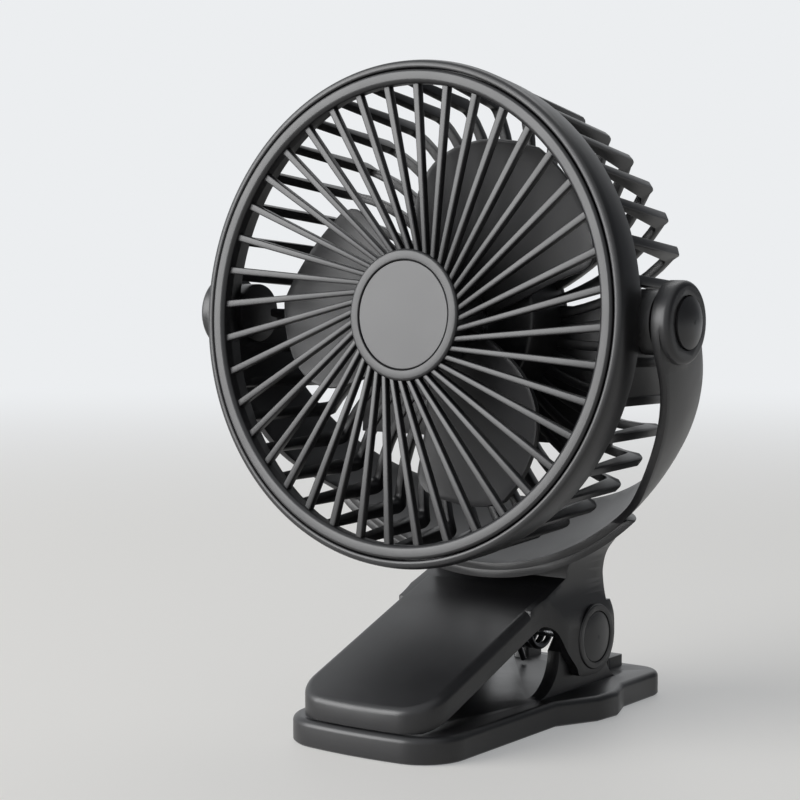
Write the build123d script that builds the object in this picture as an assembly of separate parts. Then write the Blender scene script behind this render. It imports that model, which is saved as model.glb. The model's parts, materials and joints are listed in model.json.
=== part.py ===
from build123d import *
import math
import os

# Clip fan: a round fan head that tilts between the arms of a spherical yoke, on a sprung clip
# whose lower jaw is also the table base. Millimetres. The fan faces -Y, +Z is up and the origin
# lies under the middle of the base. The head's pieces are drawn in their own frame, with +Y
# along the fan axis towards the back and the origin a set-back behind the tilt axis, and are
# then put in place.

# ---- places of the two axes ----
PIVOT_Y = -21.7
PIVOT_Z = 127.6
HEAD_SETBACK = 4.3  # the head's own origin lies this far behind the tilt axis
HINGE_Y = 27.0
HINGE_Z = 24.4
REST_PITCH = 3.6  # degrees that the fan looks above level at rest

# ---- base plate, which is the lower jaw ----
BASE_LENGTH = 131.6
BASE_HALF_WIDTH = 30.0
BASE_THICKNESS = 8.0
BASE_BOW_R = 150.0  # plan radius of the front edge
BASE_FRONT_CORNER_R = 15.0
BASE_REAR_CORNER_R = 9.0
BASE_TOP_EDGE_R = 2.0
BASE_FOOT_EDGE = 0.6
JUT_HALF_WIDTH = 37.9  # widest point of the side juts
JUT_START_RUN = 26.5  # where a jut begins, ahead of the hinge
JUT_FACET_RUN = 12.3  # front end of its flat facet, ahead of the hinge
JUT_CREST_RUN = 2.0  # widest point, ahead of the hinge
JUT_END_RUN = 9.5  # where it ends, behind the hinge
JUT_FACET_DROP = 1.1
JUT_HEEL_DROP = 2.2
TAIL_HALF_WIDTH = 33.6
SOLE_THICKNESS = 1.2
SOLE_PROUD = 0.2
SOLE_INSET = 5.0
STOP_LENGTH = 9.5  # rear blocks that meet the neck at full opening
STOP_WIDTH = 6.0
STOP_HEIGHT = 3.8
STOP_X = 16.0
STOP_SETBACK = 9.3  # middle of a block ahead of the rear edge

# ---- hinge lugs on the base, pin and spring ----
LUG_OUTER_X = 25.0
LUG_THICKNESS = 4.6
LUG_TOP_R = 11.4
LUG_FOOT_FRONT_RUN = 28.4  # foot of the front flank, ahead of the hinge
LUG_FOOT_REAR_RUN = 18.0
LUG_KNEE_FRONT_RUN = 16.5
LUG_KNEE_REAR_RUN = 12.1
HINGE_PIN_R = 2.0
PIN_FIT = 0.05  # radial running clearance
SPRING_WIRE_D = 2.0
SPRING_MEAN_R = 5.6
SPRING_PITCH = 2.75
SPRING_START_DEG = 35.0
SPRING_END_DEG = 11.0
SPRING_WHOLE_TURNS = 6
SPRING_BASE_LEG = 21.8
SPRING_NECK_LEG = 14.5

# ---- lever: paddle, neck and cradle in one moulding ----
PADDLE_HALF_WIDTH = 25.0
PADDLE_THICKNESS = 7.65
PADDLE_SETBACK = 1.8  # tip behind the front of the base
PADDLE_FLAT = 4.0  # level stretch of the underside at the tip
PADDLE_BOW_R = 150.0
PADDLE_CORNER_R = 12.0
PADDLE_EDGE_R = 2.8
PADDLE_GAP = 0.4  # tip above the base at rest
PADDLE_SKIN = 2.6
ARCH_RUN = 28.5  # where the paddle's underside turns down into the ears, ahead of the hinge
ARCH_RISE = 6.66  # the same place, above the hinge
EAR_GAP = 0.4  # between lug and ear
EAR_THICKNESS = 2.9
EAR_R = 12.0
EAR_RING_R = 10.5
EAR_RING_HEIGHT = 0.6
HINGE_CAP_R = 8.0
HINGE_CAP_THICKNESS = 2.2
CAP_GROOVE = 0.35  # slot round each cap
CAP_DOME = 0.45  # share of a cap's thickness that its dome takes
NECK_HALF_WIDTH = 25.5  # at its waist
NECK_WAIST_Z = 43.0
NECK_REAR_Y = 36.2
NECK_FRONT_Y = 13.0
NECK_START_Y = -7.0  # where the neck begins to grow out of the paddle
CRADLE_WALL = 2.4
CRADLE_FRONT_Y = 1.7
CRADLE_TOP_Z = 66.5
HOLLOW_HALF_WIDTH = 20.0
HOLLOW_TOP_Z = 43.5
JAW_PAD_THICKNESS = 1.0
JAW_PAD_LENGTH = 16.0
JAW_PAD_HALF_WIDTH = 18.0

# ---- yoke ----
YOKE_OUTER_R = 84.0
YOKE_WALL = 2.2
YOKE_BOSS_PROUD = 2.0  # the bosses stand this far out of the sphere
YOKE_BOSS_ROUND = 1.8
YOKE_ARM_THICKNESS = 5.4  # at the tilt axis
YOKE_BOSS_R = 12.0
YOKE_SCREW_X = 10.0
YOKE_SCREW_LEAN = 30.5  # degrees behind straight down from the pivot
YOKE_SCREW_R = 1.5
YOKE_SCREW_HEAD_R = 2.8
YOKE_SCREW_LENGTH = 8.0

# ---- tilt pivots ----
TILT_PIN_R = 3.0
TILT_PIN_REACH = 6.2  # past the washer into the head's boss
TILT_BOSS_R = 9.4
TILT_WASHER_R = 8.0
TILT_WASHER_THICKNESS = 2.0
TILT_CAP_R = 7.5
TILT_CAP_SEAT = 1.4
TILT_CAP_DOME = 2.2

# ---- head: shroud and basket ----
RIM_GAP = 4.6  # between the rim and the flat inside of a yoke arm
RIM_WIDTH = 3.1
RIM_FRONT_Y = -24.4
RIM_ROUND = 2.8  # depth of the rounding of the rim's outer edge
SHROUD_WALL = 2.2
SHROUD_TAPER = 1.0
SHROUD_REAR_Y = -11.5
GRILLE_SEAT_Y = -20.8
GRILLE_SEAT_LEDGE = 1.6
RIB_COUNT = 40
RIB_WIDTH = 3.0
RIB_DEPTH = 3.2
RIB_STEP_IN = 4.3  # from the shroud's rear edge to the ribs' corners
RIB_CORNER_ROUND = 2.4
RIB_SWIRL_DEG = 12.7  # turn of a rib between its corner and the housing
WEB_SPAN_DEG = 18.0  # the basket's side is closed this far down from each tilt boss
WEB_THICKNESS = 1.8
BACK_PLATE_HALF_WIDTH = 47.0
BACK_PLATE_TOP = 5.0
BACK_PLATE_BOTTOM = -37.5
BACK_PLATE_THICKNESS = 2.0
BACK_PLATE_INSET = 0.6  # the ribs stand this proud of it
BASKET_REAR_Y = 25.0
HOUSING_R = 28.0
HOUSING_WALL = 1.8
HOUSING_FRONT_Y = 6.4
MOTOR_PLATE = 2.0

# ---- front grille ----
RING_WIDTH = 4.2
RING_FRONT_Y = -24.8
SPOKE_COUNT = 40
SPOKE_OFFSET = 8.3  # each spoke passes this far from the axis
SPOKE_INNER_WIDTH = 1.6
SPOKE_OUTER_WIDTH = 2.3
SPOKE_DEPTH = 2.4
SPOKE_PHASE_DEG = 5.1
HUB_R = 19.8
HUB_FRONT_Y = -22.6
HUB_DEPTH = 3.4
DISC_R = 16.4
DISC_THICKNESS = 1.6
DISC_DROP = 0.3

# ---- impeller and motor ----
BLADE_COUNT = 3
BLADE_TIP_R = 60.5
BLADE_THICKNESS = 1.6
BLADE_MID_DEG = 47.0
BLADE_MID_Y = -2.4
# where a blade is cut across: distance out and half width in tip radii, slant in degrees
BLADE_CUTS = ((0.1, 0.4, 27.0), (0.58, 0.62, 15.5), (1.06, 0.957, 11.5))
IMPELLER_HUB_R = 15.0
IMPELLER_FRONT_Y = -17.0
IMPELLER_REAR_Y = -1.0
IMPELLER_WALL = 1.7
MOTOR_R = 11.9
MOTOR_FRONT_Y = -13.5
MOTOR_WALL = 1.2
ROTOR_R = 9.4
SHAFT_R = 1.0
BUSHING_R = 3.0
BUSHING_LENGTH = 3.0
MOTOR_SCREW_Z = 7.0
MOTOR_SCREW_R = 1.0

# ---- rear cover and electronics ----
COVER_DOME = 3.4
COVER_EDGE = 1.6
COVER_WALL = 1.8
COVER_SCREW_RADIUS = 22.3
COVER_SCREW_R = 1.3
COVER_SCREW_HEAD_R = 2.3
COVER_BOSS_R = 3.2
CELL_SIZE = (36.0, 7.0, 22.0)
CELL_GAP = 0.6
BOARD_R = 24.6
BOARD_THICKNESS = 1.6
BOARD_Y = 18.4
BUTTON_R = 5.0
BUTTON_FIT = 0.2
BUTTON_TRAVEL = 0.8
BUTTON_PROUD = 1.2
BUTTON_FLANGE = 1.0
SOCKET_WIDTH = 8.9
SOCKET_HEIGHT = 3.2
SOCKET_Z = -15.0
LENS_R = 1.4
LENS_Z = 14.0

# ---- values that follow from the sizes above ----
BASE_REAR_Y = BASE_LENGTH / 2
BASE_FRONT_Y = -BASE_LENGTH / 2
BASE_TOP_Z = SOLE_PROUD + BASE_THICKNESS
LUG_INNER_X = LUG_OUTER_X - LUG_THICKNESS
EAR_INNER_X = LUG_OUTER_X + EAR_GAP
EAR_OUTER_X = EAR_INNER_X + EAR_THICKNESS
UNDER_Z = BASE_TOP_Z + PADDLE_GAP
PADDLE_FRONT_Y = BASE_FRONT_Y + PADDLE_SETBACK
SLOPE_START_Y = PADDLE_FRONT_Y + PADDLE_FLAT
ARCH_Y = HINGE_Y - ARCH_RUN
SLOPE = (HINGE_Z + ARCH_RISE - UNDER_Z) / (ARCH_Y - SLOPE_START_Y)
PADDLE_SLOPE = math.degrees(math.atan(SLOPE))
PADDLE_RISE = PADDLE_THICKNESS * math.hypot(1, SLOPE)
YOKE_INNER_R = YOKE_OUTER_R - YOKE_WALL
YOKE_FLAT_X = YOKE_OUTER_R + YOKE_BOSS_PROUD
YOKE_INNER_HALF_WIDTH = YOKE_FLAT_X - YOKE_ARM_THICKNESS
RIM_R = YOKE_INNER_HALF_WIDTH - RIM_GAP
RING_R = RIM_R - RIM_WIDTH
SHROUD_REAR_R = RIM_R - SHROUD_TAPER
RIB_CORNER_R = SHROUD_REAR_R - RIB_STEP_IN
FAR = 200.0

HEAD = Pos(0, PIVOT_Y, PIVOT_Z) * Rot(-REST_PITCH, 0, 0) * Pos(0, HEAD_SETBACK, 0)


def under_z(y):
    """Height of the paddle's flat underside at y."""
    return UNDER_Z + SLOPE * (y - SLOPE_START_Y)


def top_z(y):
    """Height of the paddle's flat top at y."""
    return under_z(y) + PADDLE_RISE


def polygon(*points):
    """Flat face inside straight edges."""
    return make_face(Polyline(*points, close=True))


def across(face, x_from, x_to):
    """A side-view (Y, Z) face made solid between two x values."""
    return extrude(Plane.YZ.offset(x_from) * face, x_to - x_from)


def both_sides(face, half_width):
    """A side-view (Y, Z) face made solid across the middle plane."""
    return across(face, -half_width, half_width)


def upright(face, z_from, z_to):
    """A plan-view (X, Y) face made solid between two heights."""
    return extrude(Pos(0, 0, z_from) * face, z_to - z_from)


def turned(face):
    """A (radius, y) half section turned about the fan axis."""
    return revolve(face, Axis.Y, 360)


def rod_x(radius, x_from, x_to, y=0.0, z=0.0):
    """Round bar along X."""
    start = Plane(origin=(x_from, y, z), z_dir=(1, 0, 0))
    return extrude(start * Circle(radius), x_to - x_from)


def rod_y(radius, y_from, y_to, x=0.0, z=0.0):
    """Round bar along Y."""
    start = Plane(origin=(x, y_from, z), x_dir=(1, 0, 0), z_dir=(0, 1, 0))
    return extrude(start * Circle(radius), y_to - y_from)


def around(shape, angle):
    """The shape turned about the fan axis, counter-clockwise seen from the front."""
    return Rot(0, -angle, 0) * shape


def polar(radius, degrees):
    """Point in the fan's plane, as x and z."""
    angle = math.radians(degrees)
    return radius * math.cos(angle), radius * math.sin(angle)


def mirrored(shape):
    """The same piece on the other side of the middle plane."""
    return mirror(shape, about=Plane.YZ)


def ball(radius):
    """Sphere about the middle of the tilt axis."""
    return Pos(0, PIVOT_Y, PIVOT_Z) * Sphere(radius)


# ---- base ----
def base_plan():
    """Plan outline of the base plate, with its bowed front and side juts."""
    right = [
        (BASE_HALF_WIDTH, BASE_FRONT_Y - 1),
        (BASE_HALF_WIDTH, HINGE_Y - JUT_START_RUN),
        (JUT_HALF_WIDTH - JUT_FACET_DROP, HINGE_Y - JUT_FACET_RUN),
        (JUT_HALF_WIDTH, HINGE_Y - JUT_CREST_RUN),
        (JUT_HALF_WIDTH - JUT_HEEL_DROP, HINGE_Y + 0.43 * JUT_END_RUN),
        (TAIL_HALF_WIDTH, HINGE_Y + JUT_END_RUN),
        (TAIL_HALF_WIDTH, BASE_REAR_Y),
    ]
    left = [(-x, y) for x, y in reversed(right)]
    plan = polygon(*right, *left)
    plan &= Pos(0, BASE_FRONT_Y + BASE_BOW_R) * Circle(BASE_BOW_R)
    corners = plan.vertices().sort_by(Axis.Y)
    plan = fillet(corners[:2], BASE_FRONT_CORNER_R)
    corners = plan.vertices().sort_by(Axis.Y)
    return fillet(corners[-2:], BASE_REAR_CORNER_R)


def lug_profile():
    """Side view of a hinge lug: hollow flanks up to a round head about the hinge."""
    foot_z = BASE_TOP_Z - 1.5
    front_head = (HINGE_Y - 0.94 * LUG_TOP_R, HINGE_Z + 0.34 * LUG_TOP_R)
    rear_head = (HINGE_Y + 0.985 * LUG_TOP_R, HINGE_Z + 0.17 * LUG_TOP_R)
    rise = HINGE_Z - BASE_TOP_Z
    front_y = HINGE_Y - LUG_FOOT_FRONT_RUN
    rear_y = HINGE_Y + LUG_FOOT_REAR_RUN
    front_knee = (HINGE_Y - LUG_KNEE_FRONT_RUN, BASE_TOP_Z + 0.83 * rise)
    front_hollow = (front_y + 0.69 * (front_knee[0] - front_y), BASE_TOP_Z + 0.25 * rise)
    rear_knee = (HINGE_Y + LUG_KNEE_REAR_RUN, BASE_TOP_Z + 0.47 * rise)
    rear_hollow = (rear_y - 0.69 * (rear_y - rear_knee[0]), BASE_TOP_Z + 0.21 * rise)
    return make_face(
        [
            Line((front_y, foot_z), (front_y, BASE_TOP_Z)),
            ThreePointArc((front_y, BASE_TOP_Z), front_hollow, front_knee),
            Line(front_knee, front_head),
            ThreePointArc(front_head, (HINGE_Y, HINGE_Z + LUG_TOP_R), rear_head),
            Line(rear_head, rear_knee),
            ThreePointArc(rear_knee, rear_hollow, (rear_y, BASE_TOP_Z)),
            Line((rear_y, BASE_TOP_Z), (rear_y, foot_z)),
            Line((rear_y, foot_z), (front_y, foot_z)),
        ]
    )


def sole_plan(gap):
    """Outline of the rubber sole, shrunk by a gap."""
    width = 2 * (BASE_HALF_WIDTH - SOLE_INSET - gap)
    length = BASE_LENGTH - 2 * (SOLE_INSET + gap)
    return RectangleRounded(width, length, BASE_REAR_CORNER_R)


def jaw_pad_place():
    """Middle of the two jaw pads along Y."""
    return SLOPE_START_Y + 2.0 + JAW_PAD_LENGTH / 2


def base_pad(gap):
    """Grip pad let into the top of the base."""
    face = RectangleRounded(2 * (JAW_PAD_HALF_WIDTH - gap), JAW_PAD_LENGTH - 2 * gap, 2.0)
    face = Pos(0, jaw_pad_place()) * face
    return upright(face, BASE_TOP_Z - JAW_PAD_THICKNESS, BASE_TOP_Z + PADDLE_GAP / 2 - gap)


def make_base_plate():
    plate = upright(base_plan(), SOLE_PROUD, BASE_TOP_Z)
    plate = fillet(plate.faces().sort_by(Axis.Z)[-1].edges(), BASE_TOP_EDGE_R)
    plate = chamfer(plate.faces().sort_by(Axis.Z)[0].edges(), BASE_FOOT_EDGE)
    lug = across(lug_profile(), LUG_INNER_X, LUG_OUTER_X)
    stop = Pos(STOP_X, BASE_REAR_Y - STOP_SETBACK, BASE_TOP_Z + STOP_HEIGHT / 2 - 1)
    stop *= Box(STOP_WIDTH, STOP_LENGTH, STOP_HEIGHT + 2)
    stop = fillet(stop.edges().filter_by(Axis.Z), 1.0)
    plate += [lug, mirrored(lug), stop, mirrored(stop)]
    plate -= rod_x(HINGE_PIN_R + PIN_FIT / 2, -LUG_OUTER_X - 1, LUG_OUTER_X + 1, HINGE_Y, HINGE_Z)
    plate -= upright(sole_plan(0), 0, SOLE_THICKNESS)
    plate -= base_pad(0)
    return plate


def make_base_sole():
    return upright(sole_plan(0.05), 0, SOLE_THICKNESS)


def make_hinge_pin():
    half = EAR_OUTER_X - HINGE_CAP_THICKNESS / 2 - 0.3
    return rod_x(HINGE_PIN_R, -half, half, HINGE_Y, HINGE_Z)


def spring_point(degrees):
    """Point and direction of the spring's coil at an angle about the hinge."""
    angle = math.radians(degrees)
    first = math.radians(SPRING_START_DEG)
    turns = SPRING_WHOLE_TURNS - (SPRING_START_DEG - SPRING_END_DEG) / 360
    x = SPRING_PITCH * ((angle - first) / (2 * math.pi) - turns / 2)
    point = Vector(
        x,
        HINGE_Y + SPRING_MEAN_R * math.cos(angle),
        HINGE_Z + SPRING_MEAN_R * math.sin(angle),
    )
    along = Vector(
        SPRING_PITCH / (2 * math.pi),
        -SPRING_MEAN_R * math.sin(angle),
        SPRING_MEAN_R * math.cos(angle),
    )
    return point, along.normalized()


def quarter_turn(start, start_along, end, end_along):
    """Two arcs that leave and arrive along the coil and meet smoothly."""
    chord = end - start
    both = start_along + end_along
    a = both.dot(both) - 4
    b = -2 * chord.dot(both)
    c = chord.dot(chord)
    handle = (-b - math.sqrt(b * b - 4 * a * c)) / (2 * a)
    middle = ((start + start_along * handle) + (end - end_along * handle)) * 0.5
    meeting = ((end - end_along * handle) - (start + start_along * handle)).normalized()
    return [
        Edge.make_tangent_arc(start, start_along, middle),
        Edge.make_tangent_arc(middle, meeting, end),
    ]


def make_clip_spring():
    """Torsion spring: one unbroken wire, a coil between two straight legs."""
    last = SPRING_END_DEG + 360 * SPRING_WHOLE_TURNS
    quarters = round((last - SPRING_START_DEG) / 90)
    step = (last - SPRING_START_DEG) / quarters
    coil = [spring_point(SPRING_START_DEG + step * k) for k in range(quarters + 1)]
    first, first_along = coil[0]
    final, final_along = coil[-1]
    base_end = first - first_along * SPRING_BASE_LEG
    path = [Edge.make_line(base_end, first)]
    for (a, a_along), (b, b_along) in zip(coil, coil[1:]):
        path += quarter_turn(a, a_along, b, b_along)
    path.append(Edge.make_line(final, final + final_along * SPRING_NECK_LEG))
    wire_face = Plane(origin=base_end, z_dir=first_along) * Circle(SPRING_WIRE_D / 2)
    fine = [spring_point(SPRING_START_DEG + 6 * k)[0] for k in range(int(last / 6))]
    gaps = [
        (fine[i] - fine[j]).length
        for i in range(len(fine))
        for j in range(i + 30, len(fine))
    ]
    print("spring least gap between turns", round(min(gaps) - SPRING_WIRE_D, 3))
    return sweep(wire_face, path=Wire(path))


# ---- lever ----
def paddle_plan():
    """Plan of the paddle, with a bowed front and round corners, running back into the neck."""
    half = PADDLE_HALF_WIDTH
    plan = polygon((-half, PADDLE_FRONT_Y - 1), (half, PADDLE_FRONT_Y - 1), (half, 6), (-half, 6))
    plan &= Pos(0, PADDLE_FRONT_Y + PADDLE_BOW_R) * Circle(PADDLE_BOW_R)
    corners = plan.vertices().sort_by(Axis.Y)
    return fillet(corners[:2], PADDLE_CORNER_R)


def make_paddle():
    side = polygon(
        (PADDLE_FRONT_Y - 1, UNDER_Z),
        (SLOPE_START_Y, UNDER_Z),
        (8, under_z(8)),
        (8, top_z(8)),
        (PADDLE_FRONT_Y - 1, top_z(PADDLE_FRONT_Y - 1)),
    )
    paddle = both_sides(side, PADDLE_HALF_WIDTH + 1) & upright(paddle_plan(), 0, FAR)
    upper = max(paddle.faces(), key=lambda f: f.area * max(f.normal_at().Z, 0))
    rear = [e for e in upper.edges() if e.center().Y > 5]
    rim = [e for e in upper.edges() if e not in rear]
    return fillet(rim, PADDLE_EDGE_R)


def neck_profile():
    """Side view of ears and neck."""
    ear_foot = (HINGE_Y, HINGE_Z - EAR_R)
    ear_back = (HINGE_Y + EAR_R, HINGE_Z)
    arch = (ARCH_Y, under_z(ARCH_Y))
    arch_back = (ARCH_Y + 6.1, under_z(ARCH_Y) - 1.6)
    rear_top = (NECK_REAR_Y, NECK_WAIST_Z + 7.0)
    top_rear = (NECK_REAR_Y, CRADLE_TOP_Z)
    top_front = (NECK_FRONT_Y, CRADLE_TOP_Z)
    foot_front = (NECK_FRONT_Y, top_z(NECK_FRONT_Y) - 0.1)
    start_low = (NECK_START_Y, under_z(NECK_START_Y))
    start_high = (NECK_START_Y, top_z(NECK_START_Y) - 0.1)
    ear_front = (HINGE_Y - 1.4 * EAR_R, HINGE_Z - 0.233 * EAR_R)
    ear_chin = (HINGE_Y - 0.925 * EAR_R, HINGE_Z - 0.733 * EAR_R)
    return make_face(
        [
            Line(start_low, arch),
            Spline(
                arch, arch_back, ear_front, ear_chin, ear_foot,
                tangents=[(1, 0.3), (1, 0)],
            ),
            RadiusArc(ear_foot, ear_back, -EAR_R),
            Spline(
                ear_back,
                (NECK_REAR_Y + 2.2, HINGE_Z + 0.675 * EAR_R),
                (NECK_REAR_Y, NECK_WAIST_Z - 1),
                rear_top,
                tangents=[(0, 1), (0, 1)],
            ),
            Line(rear_top, top_rear),
            Line(top_rear, top_front),
            Line(top_front, foot_front),
            Line(foot_front, start_high),
            Line(start_high, start_low),
        ]
    )


def neck_front_view():
    """Front view of the neck: ears, waist and the flare up to the cradle."""
    ear = EAR_OUTER_X
    waist = NECK_HALF_WIDTH
    flare = Spline(
        (ear, HINGE_Z + 4),
        (waist + 0.8, NECK_WAIST_Z - 5),
        (waist, NECK_WAIST_Z + 1.5),
        (waist + 2.1, NECK_WAIST_Z + 8.2),
        (waist + 6.3, NECK_WAIST_Z + 12.6),
        (waist + 16.0, NECK_WAIST_Z + 23.0),
        tangents=[(0, 1), (1, 1)],
    )
    wide = waist + 16.0
    flare_top = NECK_WAIST_Z + 23.0
    return make_face(
        [
            Line((0, 0), (ear, 0)),
            Line((ear, 0), (ear, HINGE_Z + 4)),
            flare,
            Line((wide, flare_top), (wide, FAR)),
            Line((wide, FAR), (0, FAR)),
            Line((0, FAR), (0, 0)),
        ]
    )


def neck_plan():
    """Plan of the neck: widens from the paddle's width to the ears', then is free."""
    near = PADDLE_HALF_WIDTH
    ear = EAR_OUTER_X + 0.1
    wide = YOKE_OUTER_R
    start = NECK_START_Y
    run = NECK_FRONT_Y - start
    side = Spline(
        (near, start),
        (near + 0.5, start + 0.3 * run),
        (ear - 0.6, start + 0.75 * run),
        (ear, NECK_FRONT_Y),
        tangents=[(0, 1), (0, 1)],
    )
    return make_face(
        [
            Line((0, start), (near, start)),
            side,
            Line((ear, NECK_FRONT_Y), (wide, NECK_FRONT_Y)),
            Line((wide, NECK_FRONT_Y), (wide, FAR)),
            Line((wide, FAR), (0, FAR)),
            Line((0, FAR), (0, start)),
        ]
    )


def make_cradle():
    """Shell that cups the yoke."""
    shell = ball(YOKE_OUTER_R + CRADLE_WALL)
    length = NECK_REAR_Y - CRADLE_FRONT_Y
    band = Pos(0, CRADLE_FRONT_Y + length / 2, CRADLE_TOP_Z / 2) * Box(FAR, length, CRADLE_TOP_Z)
    return shell & band


def lever_hollow():
    """Space inside the neck for the lugs, the pin and the spring."""
    roof_z = HINGE_Z + 0.62 * LUG_TOP_R
    bend_y = HINGE_Y - 0.97 * LUG_TOP_R
    back_y = HINGE_Y + EAR_R + 8
    front_y = ARCH_Y - 6
    wall_y = NECK_REAR_Y - 3.0
    shelf_y = HINGE_Y - 0.66 * LUG_TOP_R
    low_z = HINGE_Z - 0.4 * LUG_TOP_R
    under = polygon(
        (front_y, under_z(front_y)),
        (bend_y, under_z(bend_y)),
        (bend_y + 4.0, roof_z),
        (back_y, roof_z),
        (back_y, 0),
        (front_y, 0),
    )
    round_space = Pos(HINGE_Y, HINGE_Z) * Circle(LUG_TOP_R + 0.7)
    wide = both_sides(under + round_space, EAR_INNER_X)
    tall = polygon((shelf_y, low_z), (wall_y, low_z), (wall_y, HOLLOW_TOP_Z), (shelf_y, HOLLOW_TOP_Z))
    return wide + both_sides(tall, HOLLOW_HALF_WIDTH)


def paddle_pocket():
    """Hollow in the paddle's underside, behind the grip pad."""
    front = jaw_pad_place() + JAW_PAD_LENGTH / 2 + 3
    back = ARCH_Y - 3
    roof = PADDLE_RISE - PADDLE_SKIN * math.hypot(1, SLOPE)
    side = polygon(
        (front, under_z(front) - 3),
        (back, under_z(back) - 3),
        (back, under_z(back) + roof),
        (front, under_z(front) + roof),
    )
    return both_sides(side, PADDLE_HALF_WIDTH - PADDLE_SKIN)


def lever_pad(gap):
    """Grip pad let into the sloping underside of the paddle."""
    middle = jaw_pad_place()
    face = RectangleRounded(2 * (JAW_PAD_HALF_WIDTH - gap), JAW_PAD_LENGTH - 2 * gap, 2.0)
    place = Pos(0, middle, under_z(middle)) * Rot(PADDLE_SLOPE, 0, 0)
    return place * upright(face, gap - 0.3, JAW_PAD_THICKNESS)


def ear_ring():
    """Raised ring on the outside of an ear."""
    ring = rod_x(EAR_RING_R, EAR_OUTER_X - 0.5, EAR_OUTER_X + EAR_RING_HEIGHT, HINGE_Y, HINGE_Z)
    outer = ring.faces().sort_by(Axis.X)[-1]
    return fillet(outer.edges(), EAR_RING_HEIGHT * 0.9)


def cap_seat_x():
    """Inner face of a hinge cap."""
    return EAR_OUTER_X + EAR_RING_HEIGHT - 1.4


def make_clip_lever():
    neck = both_sides(neck_profile(), FAR)
    front_half = extrude(Plane.XZ.offset(-FAR) * neck_front_view(), 2 * FAR)
    plan_half = upright(neck_plan(), 0, FAR)
    corner_r = math.hypot(NECK_REAR_Y - PIVOT_Y, NECK_HALF_WIDTH)
    round_back = upright(Pos(0, PIVOT_Y) * Circle(corner_r), NECK_WAIST_Z - 8, FAR)
    round_back += upright(Rectangle(FAR, FAR), 0, NECK_WAIST_Z - 8)
    half = neck & front_half & plan_half & round_back
    lever = make_paddle() + half + mirrored(half) + make_cradle()
    lever -= ball(YOKE_OUTER_R)
    ring = ear_ring()
    lever += [ring, mirrored(ring)]
    lever -= lever_hollow()
    lever -= paddle_pocket()
    lever -= lever_pad(0)
    seat = rod_x(HINGE_CAP_R + CAP_GROOVE, cap_seat_x(), FAR, HINGE_Y, HINGE_Z)
    lever -= [seat, mirrored(seat)]
    bore = HINGE_PIN_R + PIN_FIT
    lever -= rod_x(bore, -cap_seat_x() - 0.5, cap_seat_x() + 0.5, HINGE_Y, HINGE_Z)
    for side in (-1, 1):
        lever -= yoke_screw(side, PIN_FIT)
    return lever


def domed_cap(radius, x_seat, thickness, y, z):
    """Round cap with a domed outer face, on the +X side."""
    rise = CAP_DOME * thickness
    ball_r = (radius * radius + rise * rise) / (2 * rise)
    bar = rod_x(radius, x_seat, x_seat + 2 * thickness, y, z)
    ball = Pos(x_seat + thickness - ball_r, y, z) * Rot(0, 90, 0) * Sphere(ball_r)
    return bar & ball


def make_hinge_cap():
    return domed_cap(HINGE_CAP_R, cap_seat_x(), HINGE_CAP_THICKNESS, HINGE_Y, HINGE_Z)


# ---- yoke ----
def yoke_side():
    """Side view of the yoke: round bosses, arms that widen downwards and a foot in the cradle."""
    top = (PIVOT_Y, PIVOT_Z + YOKE_BOSS_R)
    front = (PIVOT_Y - YOKE_BOSS_R, PIVOT_Z)
    rear = (PIVOT_Y + YOKE_BOSS_R, PIVOT_Z)
    foot_z = PIVOT_Z - YOKE_OUTER_R - 2
    reach = YOKE_OUTER_R
    front_foot = (CRADLE_FRONT_Y - 0.2, PIVOT_Z - 0.739 * reach)
    rear_foot = (NECK_REAR_Y - 2, PIVOT_Z - 0.752 * reach)
    return make_face(
        [
            Spline(
                front,
                (PIVOT_Y - 0.063 * reach, PIVOT_Z - 0.204 * reach),
                (PIVOT_Y + 0.025 * reach, PIVOT_Z - 0.399 * reach),
                (PIVOT_Y + 0.127 * reach, PIVOT_Z - 0.588 * reach),
                front_foot,
                tangents=[(0, -1), (0.6, -1)],
            ),
            Line(front_foot, (front_foot[0], foot_z)),
            Line((front_foot[0], foot_z), (rear_foot[0], foot_z)),
            Line((rear_foot[0], foot_z), rear_foot),
            Spline(
                rear_foot,
                (PIVOT_Y + 0.535 * reach, PIVOT_Z - 0.64 * reach),
                (PIVOT_Y + 0.4 * reach, PIVOT_Z - 0.458 * reach),
                (PIVOT_Y + 0.255 * reach, PIVOT_Z - 0.19 * reach),
                rear,
                tangents=[(-1, 0.7), (-0.35, 1)],
            ),
            ThreePointArc(rear, top, front),
        ]
    )


def yoke_screw(side, gap):
    """Countersunk screw through the foot of the yoke, square to its wall."""
    lean = math.radians(YOKE_SCREW_LEAN)
    outward = Vector(side * YOKE_SCREW_X / YOKE_INNER_R, math.sin(lean), -math.cos(lean)).normalized()
    head_top = 0.15
    start = Vector(0, PIVOT_Y, PIVOT_Z) + outward * (YOKE_INNER_R + head_top)
    depth = YOKE_SCREW_HEAD_R - YOKE_SCREW_R
    section = polygon(
        (0, 0),
        (YOKE_SCREW_HEAD_R, 0),
        (YOKE_SCREW_R + gap, depth - gap),
        (YOKE_SCREW_R + gap, YOKE_SCREW_LENGTH + gap),
        (0, YOKE_SCREW_LENGTH + gap),
    )
    screw = revolve(section, Axis.Y, 360)
    frame = Plane(origin=start, z_dir=outward)
    return frame * Rot(90, 0, 0) * screw


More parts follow.
